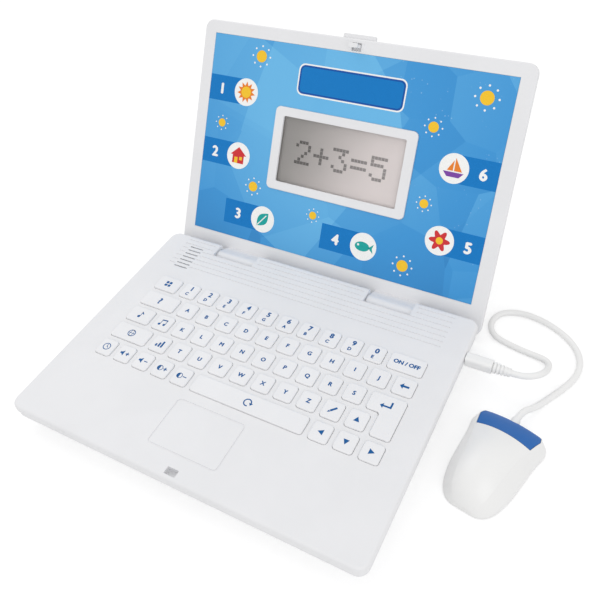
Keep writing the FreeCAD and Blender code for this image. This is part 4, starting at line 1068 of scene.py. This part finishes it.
@dataclass
class Keyboard:
    """The printed legends of the keys, each on its own key.

    Attributes:
        ink: how thick the print is.
        letter: a letter's height.
        figure: a digit's height.
        note: a note name's height.
        figure_shift: a digit's place, right and back of the key's middle.
        note_shift: a note name's place, right and back of the key's middle.
        sign: a sign's height.
        arrow: an arrow's height.
        rows: what the keys of each row say, from the left.
        note_names: what stands under the digits.
        signs: the sign on each key that has one.
        words: the words on the others.
    """

    ink: float = 0.04 * MM
    letter: float = 3.5 * MM
    figure: float = 4.6 * MM
    note: float = 3.0 * MM
    figure_shift: tuple[float, float] = (0.6 * MM, 2.9 * MM)
    note_shift: tuple[float, float] = (-0.7 * MM, -3.3 * MM)
    sign: float = 6.2 * MM
    arrow: float = 4.5 * MM
    rows: dict[str, str] = field(default_factory=lambda: {
        "digit_keys": "1234567890",
        "letter_keys_back": "ABCDEFGHIJ",
        "letter_keys_middle": "KLMNOPQRS",
        "letter_keys_front": "TUVWXYZ",
    })
    note_names: str = "CDEFGABCDE"
    signs: dict[str, Symbol] = field(default_factory=lambda: {
        "activity_key": Symbol.SQUARES,
        "delete_key": Symbol.DELETE,
        "music_key": Symbol.NOTE,
        "note_key": Symbol.NOTES,
        "enter_key": Symbol.ENTER,
        "language_key": Symbol.GLOBE,
        "level_key": Symbol.STEPS,
        "write_key": Symbol.PENCIL,
        "clock_key": Symbol.CLOCK,
        "louder_key": Symbol.LOUDER,
        "quieter_key": Symbol.QUIETER,
        "contrast_up_key": Symbol.LIGHTER,
        "contrast_down_key": Symbol.DARKER,
        "repeat_key": Symbol.REPEAT,
        "up_key": Symbol.UP,
        "down_key": Symbol.DOWN,
        "left_key": Symbol.LEFT,
        "right_key": Symbol.RIGHT,
    })
    words: dict[str, str] = field(default_factory=lambda: {
        "power_key": "ON / OFF",
        "help_key": "?",
    })

    def build(self) -> None:
        """Dress every key and print its legend."""
        for node in (*self.rows, *self.signs, *self.words):
            dress(node, Finish.KEY)
        for node, characters in self.rows.items():
            self._print(node, self._row(node, characters))
        for node, symbol in self.signs.items():
            self._print(node, self._sign(node, symbol))
        for node, word in self.words.items():
            height = self.letter if len(word) > 1 else self.sign
            self._print(node, [self._write(word, height, *self._middle(node))])

    @staticmethod
    def _middle(node: str) -> tuple[float, float, float]:
        """Give the middle of a key's top."""
        low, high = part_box(node)
        return (low[0] + high[0]) / 2, (low[1] + high[1]) / 2, high[2]

    def _write(self, text: str, height: float, x: float, y: float, top: float) -> Patch:
        """Write text centred on a place of a key's top."""
        return Lettering.write(text, height, x, y, top, top + self.ink)

    def _row(self, node: str, characters: str) -> list[Patch]:
        """Write one character on each key of a row, and note names under the digits.

        Args:
            node: the row's node.
            characters: what its keys say, from the left.

        Returns:
            The letters and figures.
        """
        low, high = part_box(node)
        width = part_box("write_key")[1][0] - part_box("write_key")[0][0]
        places = np.linspace(low[0] + width / 2, high[0] - width / 2, len(characters))
        _, middle, top = self._middle(node)
        right, back = self.figure_shift
        note_right, note_back = self.note_shift
        patches = []
        for x, character, note in zip(places, characters, self.note_names):
            if character.isdigit():
                patches.append(self._write(character, self.figure, x + right, middle + back, top))
                patches.append(self._write(note, self.note, x + note_right, middle + note_back, top))
            else:
                patches.append(self._write(character, self.letter, x, middle, top))
        return patches

    def _sign(self, node: str, symbol: Symbol) -> list[Patch]:
        """Draw a sign on a key; the Enter key's stands on its wider part.

        Args:
            node: the key's node.
            symbol: the sign.

        Returns:
            The sign's parts.
        """
        x, y, top = self._middle(node)
        if symbol is Symbol.ENTER:
            y += (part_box(node)[1][1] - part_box(node)[0][1]) / 4
        arrows = (Symbol.UP, Symbol.DOWN, Symbol.LEFT, Symbol.RIGHT)
        size = self.arrow if symbol in arrows else self.sign
        return [prism(outline * size + (x, y), top, top + self.ink) for outline in symbol.outlines()]

    @staticmethod
    def _print(node: str, patches: list[Patch]) -> None:
        """Make one key's print."""
        piece(node + "_print", join(patches), Finish.KEY_INK.material(), node)


def coat(node: str, material: bpy.types.Material) -> None:
    """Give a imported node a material.

    Args:
        node: the node's name.
        material: the material.
    """
    mesh = frame["nodes"][node].data
    mesh.materials.clear()
    mesh.materials.append(material)
    LOG.info("%s: %s", node, material.name)


def dress(node: str, finish: Finish) -> None:
    """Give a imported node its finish."""
    coat(node, finish.material())


class Motif(Enum):
    """The plain pictures printed on the panel's discs."""

    SUN = "sun"
    LEAF = "leaf"
    HOUSE = "house"
    BOAT = "boat"
    FISH = "fish"
    FLOWER = "flower"

    def layers(self) -> Layers:
        """Give the picture's inks and outlines, each over the last, in a field of radius one."""
        return getattr(self, "_" + self.value)()

    @staticmethod
    def _sun() -> Layers:
        """Draw a sun: a disc within a many-pointed star."""
        rays = star(0, 0, 0.95, 0.62, 11)
        return [(Finish.PRINT_ORANGE, [rays]), (Finish.PRINT_YELLOW, [circle(0, 0, 0.5)])]

    @staticmethod
    def _leaf() -> Layers:
        """Draw a leaf: two bowed sides that meet in points, with a pale rib.

        Returns:
            The inks and outlines.
        """
        along = np.linspace(-1.0, 1.0, 25)
        side = np.stack([0.5 * np.cos(along * np.pi / 2), along * 0.85], axis=1)
        turn = np.array([(0.77, -0.64), (0.64, 0.77)])
        blade = np.concatenate([side, (side * (-1, 1))[-2:0:-1]]) @ turn
        rib = bar((-0.5, -0.6), (0.36, 0.43), 0.09)
        return [(Finish.PRINT_TEAL, [blade]), (Finish.PRINT_WHITE, [rib])]

    @staticmethod
    def _house() -> Layers:
        """Draw a house: a gabled wall with a door and a window.

        Returns:
            The inks and outlines.
        """
        wall = np.array([(-0.6, -0.7), (0.6, -0.7), (0.6, 0.05), (0.85, 0.05), (0.0, 0.8),
                         (-0.85, 0.05), (-0.6, 0.05)])
        door = rounded_box(-0.22, -0.42, 0.34, 0.56, 0.03)
        window = rounded_box(0.28, -0.22, 0.3, 0.3, 0.03)
        return [(Finish.PRINT_RED, [wall]), (Finish.PRINT_YELLOW, [door, window])]

    @staticmethod
    def _boat() -> Layers:
        """Draw a sailing boat: a hull and two sails.

        Returns:
            The inks and outlines.
        """
        hull = np.array([(-0.85, -0.3), (-0.5, -0.7), (0.5, -0.7), (0.85, -0.3)])
        sail = np.array([(0.04, -0.2), (0.7, -0.2), (0.04, 0.85)])
        jib = np.array([(-0.06, -0.2), (-0.06, 0.65), (-0.55, -0.2)])
        return [(Finish.PRINT_PURPLE, [hull]), (Finish.PRINT_ORANGE, [sail, jib])]

    @staticmethod
    def _fish() -> Layers:
        """Draw a fish: an oval body and a forked tail, with an eye.

        Returns:
            The inks and outlines.
        """
        body = circle(-0.15, 0, 1.0) * (0.68, 0.42)
        tail = np.array([(0.48, 0.0), (0.95, 0.42), (0.82, 0.0), (0.95, -0.42)])
        eye = circle(-0.48, 0.1, 0.1, count=20)
        return [(Finish.PRINT_TEAL, [body, tail]), (Finish.PRINT_WHITE, [eye])]

    @staticmethod
    def _flower() -> Layers:
        """Draw a flower: an edge that waves six times round, about a yellow middle.

        Returns:
            The inks and outlines.
        """
        turn = np.linspace(0, 2 * np.pi, 96, endpoint=False)
        reach = 0.7 + 0.2 * np.cos(6 * turn)
        edge = np.stack([reach * np.cos(turn), reach * np.sin(turn)], axis=1)
        return [(Finish.PRINT_RED, [edge]), (Finish.PRINT_YELLOW, [circle(0, 0, 0.3)])]


class Disc(NamedTuple):
    """A picture disc of the panel.

    Attributes:
        motif: its picture.
        figure: the figure printed on its tab.
        across: its middle across the lid.
        up: its middle up the lid.
        side: 1 if its tab runs to the right, -1 if to the left.
        reach: how far its tab runs from its middle.
    """

    motif: Motif
    figure: str
    across: float
    up: float
    side: int
    reach: float


@dataclass(frozen=True)
class PanelSheet:
    """The panel's sheet: straight-edged facets of blue, paler to the middle, with pale specks.

    Attributes:
        middle: the panel's middle.
        up: the direction up the lid.
        blues: the blue of each tone, from 0 to 1.
        tone: the tone where the glow ends, before the facets.
        glow: how much paler the middle is.
        reach: how far from the middle the glow ends.
        contrast: how strong the facets are.
        facets: the size and share of the broad and of the small facets.
        rise: the height over which the tone gains 1.
        speck: a speck's colour.
        speck_share: how much of that shows.
        speck_pitch: the specks' pitch.
        speck_cloud: the size of a cloud of specks.
        speck_span: the way to the upper right over which specks come in.
        roughness: the mean roughness.
        patch: the size of a worn patch.
        worn: how far the roughness drifts from patch to patch.
        specular: how strong the gloss is.
        grain: the grain's size.
        relief: the grain's height.
    """

    middle: np.ndarray
    up: np.ndarray
    blues: tuple[tuple[float, Colour], ...] = (
        (0.0, (0.016, 0.17, 0.46)), (0.5, (0.05, 0.31, 0.68)), (1.0, (0.15, 0.49, 0.82)),
    )
    tone: float = 0.16
    glow: float = 0.42
    reach: float = 170 * MM
    contrast: float = 0.85
    facets: tuple[tuple[float, float], ...] = ((95 * MM, 0.5), (60 * MM, 0.3))
    rise: float = 600 * MM
    speck: Colour = (0.5, 0.75, 0.92)
    speck_share: float = 0.6
    speck_pitch: float = 4.2 * MM
    speck_cloud: float = 34 * MM
    speck_span: float = 200 * MM
    roughness: float = 0.34
    patch: float = 16 * MM
    worn: float = 0.08
    specular: float = 0.25
    grain: float = 0.25 * MM
    relief: float = 0.004 * MM

    def material(self) -> bpy.types.Material:
        """Make the material.

        Returns:
            The material.
        """
        paint = Paint("panel_sheet")
        across = paint.along((1.0, 0.0, 0.0), self.middle)
        up = paint.along(self.up, self.middle)
        far = (across * across + up * up).math("SQRT") / self.reach
        broad, small = (share * paint.cells(size) for size, share in self.facets)
        tone = self.tone + self.glow * (1.0 - far) + self.contrast * (broad + small) + up / self.rise
        sheet = paint.node("ShaderNodeValToRGB", {"stops": self.blues}, {0: tone})
        inputs = {"Vector": paint.position(), "Scale": 1.0 / self.speck_pitch}
        dots = paint.node("ShaderNodeTexVoronoi", None, inputs)
        corner = ((across + up) / self.speck_span).step(0.1, 0.8)
        cloud = paint.noise(self.speck_cloud).step(0.4, 0.65)
        specks = (1.0 - dots.step(0.05, 0.16)) * cloud * corner
        return paint.surface(
            Base_Color=paint.mix(specks * self.speck_share, sheet, self.speck),
            Roughness=self.roughness + self.worn * paint.noise(self.patch, detail=3.0).centred(),
            Specular_IOR_Level=self.specular,
            Normal=paint.bump(paint.noise(self.grain), self.relief),
        )


@dataclass(frozen=True)
class DisplayFaceWithPaintedGlare:
    """A part of the display: a warm grey with a painted glare that pales it from left to right, faintly
    clouded.

    Attributes:
        name: the material's name.
        left: its colour on the left, outside the painted glare.
        right: its colour on the right, in the painted glare.
        middle: the display's middle.
        up: the direction up the lid.
        lean: how far the painted glare's edge leans.
        span: where the painted glare starts and ends, from the middle.
        cloud: a cloud's size.
        clouding: how far a cloud shifts the colour.
        roughness: the mean roughness.
        drift: how far the roughness drifts.
    """

    name: str
    left: Colour
    right: Colour
    middle: np.ndarray
    up: np.ndarray
    lean: float = 0.35
    span: tuple[float, float] = (-62 * MM, 48 * MM)
    cloud: float = 26 * MM
    clouding: float = 0.15
    roughness: float = 0.42
    drift: float = 0.06

    def material(self) -> bpy.types.Material:
        """Make the material.

        Returns:
            The material.
        """
        paint = Paint(self.name)
        across = paint.along((1.0, 0.0, 0.0), self.middle)
        up = paint.along(self.up, self.middle)
        cloud = paint.noise(self.cloud).centred()
        # The slanted step from left to right is painted glare; the clouds are the display's own uneven
        # tone.
        tone = (across - up * self.lean).step(*self.span) + cloud * self.clouding
        return paint.surface(
            Base_Color=paint.mix(tone, self.left, self.right),
            Roughness=self.roughness + self.drift * cloud,
        )


@dataclass(frozen=True)
class ClearWindow:
    """Clear plastic: mostly see-through, and glossy at a slant.

    Attributes:
        tint: the light that it lets through.
        index: its refractive index.
        roughness: the gloss's roughness.
        gloss: how much of the gloss shows where it is cleanest.
        smear: a smear's size.
        smeared: how much gloss a smear adds.
    """

    tint: Colour = (0.97, 0.975, 0.975)
    index: float = 1.38
    roughness: float = 0.08
    gloss: float = 0.35
    smear: float = 14 * MM
    smeared: float = 0.15

    def material(self) -> bpy.types.Material:
        """Make the material.

        Returns:
            The material.
        """
        paint = Paint("window_clear")
        smear = paint.noise(self.smear, detail=3.0)
        facing = paint.node("ShaderNodeFresnel", None, {"IOR": self.index})
        clear = paint.node("ShaderNodeBsdfTransparent", None, {"Color": (*self.tint, 1.0)})
        inputs = {"Color": grey(1.0), "Roughness": self.roughness}
        gloss = paint.node("ShaderNodeBsdfGlossy", None, inputs)
        factor = facing * (self.gloss + self.smeared * smear)
        return paint.finish(paint.node("ShaderNodeMixShader", None, {0: factor, 1: clear, 2: gloss}))


# The display's signs: seven rows of five dots, from the top, where 1 is a dark dot.
GLYPHS = {
    "2": "01110 10001 00001 00010 00100 01000 11111",
    "3": "11111 00010 00100 00010 00001 10001 01110",
    "5": "11111 10000 11110 00001 00001 10001 01110",
    "+": "00000 00100 00100 11111 00100 00100 00000",
    "=": "00000 00000 11111 00000 11111 00000 00000",
}


@dataclass
class Lid:
    """The lid with its printed panel and its display.

    Attributes:
        panel_low: the panel's lower edge, up the lid from the hinge.
        panel_size: the panel's width and height.
        panel_face: how far out the panel's print begins, from the hinge.
        screen: the screen's middle, across and up the lid.
        glass_face: how far out the display's front lies, from the hinge.
        ink: how thick the print is.
        dot: the pitch of the display's dots.
        gap: the space between two dots.
        dot_lift: how far the dots stand off the display.
        shown: the sum on the display.
        glass_and_painted_glare_greys: the display's colour on the left, and its colour in a painted glare
            on the right.
        dot_and_painted_glare_greys: the dots' colour on the left, and their colour in the painted glare on
            the right.
        disc: a picture disc's radius.
        picture: a picture's radius, in discs' radii.
        tab: how tall a disc's tab is.
        figure: the height of the figure on a tab.
        plate: the bare plate's width and height.
        plate_up: its middle up the lid.
        plate_edges: how much smaller its rim, its line and its face are, and their corners' radii.
        discs: the picture discs.
        bubbles: the middle and radius of each yellow bubble.
        sparks: how many dots stand round a bubble.
        spark: such a dot's radius, in bubbles' radii.
        spark_reach: how far it stands from the bubble's middle, in bubbles' radii.
        hinge: a place on the hinge's line.
        up: the direction up the lid.
        out: the direction out of the lid's face, to the user.
    """

    panel_low: float = 18.6 * MM
    panel_size: tuple[float, float] = (265.4 * MM, 175.4 * MM)
    panel_face: float = -13.48 * MM
    screen: tuple[float, float] = (1.5 * MM, 106.4 * MM)
    glass_face: float = -15.85 * MM
    ink: float = 0.03 * MM
    dot: float = 2.9 * MM
    gap: float = 0.25 * MM
    dot_lift: float = 0.02 * MM
    shown: str = "2+3=5"
    # The second grey of each pair is paler with a painted glare.
    glass_and_painted_glare_greys: tuple[Colour, Colour] = ((0.36, 0.335, 0.32), (0.88, 0.79, 0.775))
    dot_and_painted_glare_greys: tuple[Colour, Colour] = ((0.07, 0.062, 0.057), (0.34, 0.305, 0.3))
    disc: float = 11.8 * MM
    picture: float = 0.82
    tab: float = 22 * MM
    figure: float = 9 * MM
    plate: tuple[float, float] = (96 * MM, 26 * MM)
    plate_up: float = 167 * MM
    plate_edges: tuple[tuple[float, float], ...] = (
        (0.0, 5.5 * MM), (2.4 * MM, 4.6 * MM), (5.4 * MM, 3.4 * MM),
    )
    discs: tuple[Disc, ...] = (
        Disc(Motif.SUN, "1", -95 * MM, 148 * MM, -1, 37.7 * MM),
        Disc(Motif.HOUSE, "2", -95 * MM, 92 * MM, -1, 37.7 * MM),
        Disc(Motif.LEAF, "3", -62 * MM, 41 * MM, -1, 40 * MM),
        Disc(Motif.FISH, "4", 36 * MM, 41 * MM, -1, 40 * MM),
        Disc(Motif.FLOWER, "5", 98 * MM, 62 * MM, 1, 34.7 * MM),
        Disc(Motif.BOAT, "6", 98 * MM, 120 * MM, 1, 34.7 * MM),
    )
    bubbles: tuple[tuple[float, float, float], ...] = (
        (-84 * MM, 180 * MM, 5.0 * MM), (-116 * MM, 118 * MM, 3.6 * MM), (-76 * MM, 68 * MM, 4.4 * MM),
        (76 * MM, 148 * MM, 4.2 * MM), (112 * MM, 176 * MM, 5.4 * MM), (80 * MM, 88 * MM, 3.6 * MM),
        (72 * MM, 34 * MM, 4.8 * MM), (-14 * MM, 56 * MM, 3.4 * MM),
    )
    sparks: int = 8
    spark: float = 0.16
    spark_reach: float = 1.7
    hinge: np.ndarray = field(init=False)
    up: np.ndarray = field(init=False)
    out: np.ndarray = field(init=False)

    def __post_init__(self) -> None:
        """Take the hinge's place and the lid's lean from the frame."""
        joint = next(j for j in frame["joints"] if j["name"] == "lid")
        lean = math.radians(180.0 + joint["range_deg"][0])
        self.hinge = np.array(joint["pos_m"], float)
        self.up = np.array([0.0, math.cos(lean), math.sin(lean)])
        self.out = np.array([0.0, -math.sin(lean), math.cos(lean)])

    def place(self, points: np.ndarray) -> np.ndarray:
        """Carry points given across, up and out of the lid to where the lid stands."""
        across = points[:, :1] * np.array([[1.0, 0.0, 0.0]])
        return self.hinge * (0, 1, 1) + across + points[:, 1:2] * self.up + points[:, 2:3] * self.out

    def build(self) -> None:
        """Dress the lid, print its panel and show a sum on its display."""
        for node in ("lid_front", "lid_back", "latch", "screen_frame"):
            dress(node, Finish.SHELL)
        panel_middle = self._spot(0.0, self.panel_low + self.panel_size[1] / 2)
        coat("picture_panel", PanelSheet(panel_middle, self.up).material())
        # The display's grey pales to the right with a painted glare.
        coat("display_glass", self._display("display_face_painted_glare", self.glass_and_painted_glare_greys))
        coat("screen_window", ClearWindow().material())
        dress("display_board", Finish.BOARD)
        dress("lid_screws", Finish.STEEL)
        self._print_panel()
        self._show_sum()

    def _spot(self, across: float, up: float) -> np.ndarray:
        """Give a place across and up the lid, level with the hinge."""
        return self.place(np.array([[across, up, 0.0]]))[0]

    def _display(self, name: str, greys: tuple[Colour, Colour]) -> bpy.types.Material:
        """Make the material of a part of the display, with its painted glare."""
        return DisplayFaceWithPaintedGlare(name, *greys, self._spot(*self.screen), self.up).material()

    def _raise(self, outlines: Sequence[np.ndarray], layer: int) -> Patch:
        """Make thin prints on the panel, each layer above the last.

        Args:
            outlines: the prints' outlines, across and up the lid.
            layer: how many prints lie below.

        Returns:
            The prints, in place.
        """
        low = self.panel_face + layer * self.ink
        made = join([prism(outline, low, low + self.ink) for outline in outlines])
        return Patch(self.place(made.points), made.faces)

    def _tab(self, disc: Disc) -> np.ndarray:
        """Give the outline of a disc's tab, from the disc's middle to the tab's end."""
        end = disc.across + disc.side * disc.reach
        return bar((disc.across, disc.up), (end, disc.up), self.tab)

    def _plate(self, inset: float, radius: float) -> np.ndarray:
        """Give the bare plate's outline, drawn in by an inset, half of it at each side."""
        width, height = (side - inset for side in self.plate)
        return rounded_box(self.screen[0], self.plate_up, width, height, radius)

    def _print_panel(self) -> None:
        """Print the panel: a bare plate, tabs that end in picture discs, and yellow bubbles."""
        rim, line, face = (self._plate(inset, radius) for inset, radius in self.plate_edges)
        white = [circle(d.across, d.up, self.disc, count=56) for d in self.discs] + [rim]
        white += [dot for x, y, radius in self.bubbles for dot in self._sparks(x, y, radius)]
        prints: list[tuple[Finish, int, Outlines]] = [
            (Finish.PRINT_BAND, 0, [self._tab(d) for d in self.discs]),
            (Finish.PRINT_WHITE, 1, white),
            (Finish.PRINT_NAVY, 2, [line]),
            (Finish.PRINT_YELLOW, 2, [circle(x, y, radius) for x, y, radius in self.bubbles]),
            (Finish.PRINT_BAND, 3, [face]),
        ]
        size = self.disc * self.picture
        for disc in self.discs:
            for height, (finish, outlines) in enumerate(disc.motif.layers(), start=2):
                prints.append((finish, height, [o * size + (disc.across, disc.up) for o in outlines]))
        for ink in dict.fromkeys(finish for finish, _, _ in prints):
            own = [(outlines, height) for finish, height, outlines in prints if finish is ink]
            patches = [self._raise(outlines, height) for outlines, height in own]
            if ink is Finish.PRINT_WHITE:
                patches += self._figures()
            piece("panel_" + ink.value.name, join(patches), ink.material(), "lid")

    def _sparks(self, x: float, y: float, radius: float) -> Outlines:
        """Give the small dots round a bubble."""
        around = circle(x, y, radius * self.spark_reach, self.sparks)
        return [circle(a, b, radius * self.spark, count=12) for a, b in around]

    def _figures(self) -> list[Patch]:
        """Write the figures on the tabs.

        Returns:
            The figures, in place.
        """
        low = self.panel_face + self.ink
        patches = []
        for disc in self.discs:
            middle = disc.across + disc.side * (disc.reach + self.disc) / 2
            flat = Lettering.write(disc.figure, self.figure, middle, disc.up, low, low + self.ink)
            patches.append(Patch(self.place(flat.points), flat.faces))
        return patches

    def _show_sum(self) -> None:
        """Show a plain sum on the display, in square dots."""
        glyphs = [[[int(dot) for dot in row] + [0] for row in GLYPHS[sign].split()] for sign in self.shown]
        lit = np.concatenate(glyphs, axis=1)[:, :-1]
        up, across = np.nonzero(lit[::-1])
        x = (across - (lit.shape[1] - 1) / 2) * self.dot + self.screen[0]
        y = (up - (lit.shape[0] - 1) / 2) * self.dot + self.screen[1]
        side = self.dot - self.gap
        low = self.glass_face + self.dot_lift
        square = np.array([(-0.5, -0.5), (0.5, -0.5), (0.5, 0.5), (-0.5, 0.5)]) * side
        made = join([prism(square + spot, low, low + self.ink) for spot in zip(x, y)])
        dots = Patch(self.place(made.points), made.faces)
        # The dots pale to the right under the same painted glare.
        piece("display_dots", dots, self._display("display_dot", self.dot_and_painted_glare_greys), "lid")


@dataclass
class Assembly:
    """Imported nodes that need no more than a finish.

    Attributes:
        finishes: each node's finish.
    """

    finishes: dict[str, Finish]

    def build(self) -> None:
        """Dress the nodes."""
        for node, finish in self.finishes.items():
            dress(node, finish)


@dataclass
class BaseUnit(Assembly):
    """The base's shells and what they hold."""

    finishes: dict[str, Finish] = field(default_factory=lambda: {
        "base_top": Finish.SHELL,
        "base_bottom": Finish.SHELL,
        "battery_door": Finish.SHELL,
        "rubber_feet": Finish.FOOT,
        "batteries": Finish.CELL,
        "battery_contacts": Finish.STEEL,
        "main_board": Finish.BOARD,
        "board_screws": Finish.STEEL,
        "keypad_mat": Finish.MAT,
        "speaker": Finish.DARK,
        "mouse_socket": Finish.DARK,
        "case_screws": Finish.STEEL,
        "hinge_pins": Finish.STEEL,
    })


@dataclass
class Mouse(Assembly):
    """The corded mouse and its plug."""

    finishes: dict[str, Finish] = field(default_factory=lambda: {
        "mouse_top": Finish.MOUSE,
        "mouse_base": Finish.MOUSE,
        "mouse_button": Finish.BUTTON,
        "mouse_relief": Finish.CORD,
        "mouse_board": Finish.BOARD,
        "mouse_lens": Finish.DARK,
        "mouse_pads": Finish.PAD,
        "mouse_screw": Finish.STEEL,
        "mouse_plug": Finish.CORD,
        "plug_pin": Finish.STEEL,
    })


def main() -> None:
    """Build the stage and dress the laptop."""
    logging.basicConfig(level=logging.INFO)
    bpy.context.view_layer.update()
    Stage().build()
    MouseCord().build()
    BaseUnit().build()
    Keyboard().build()
    Lid().build()
    Mouse().build()


if __name__ == "__main__":
    main()
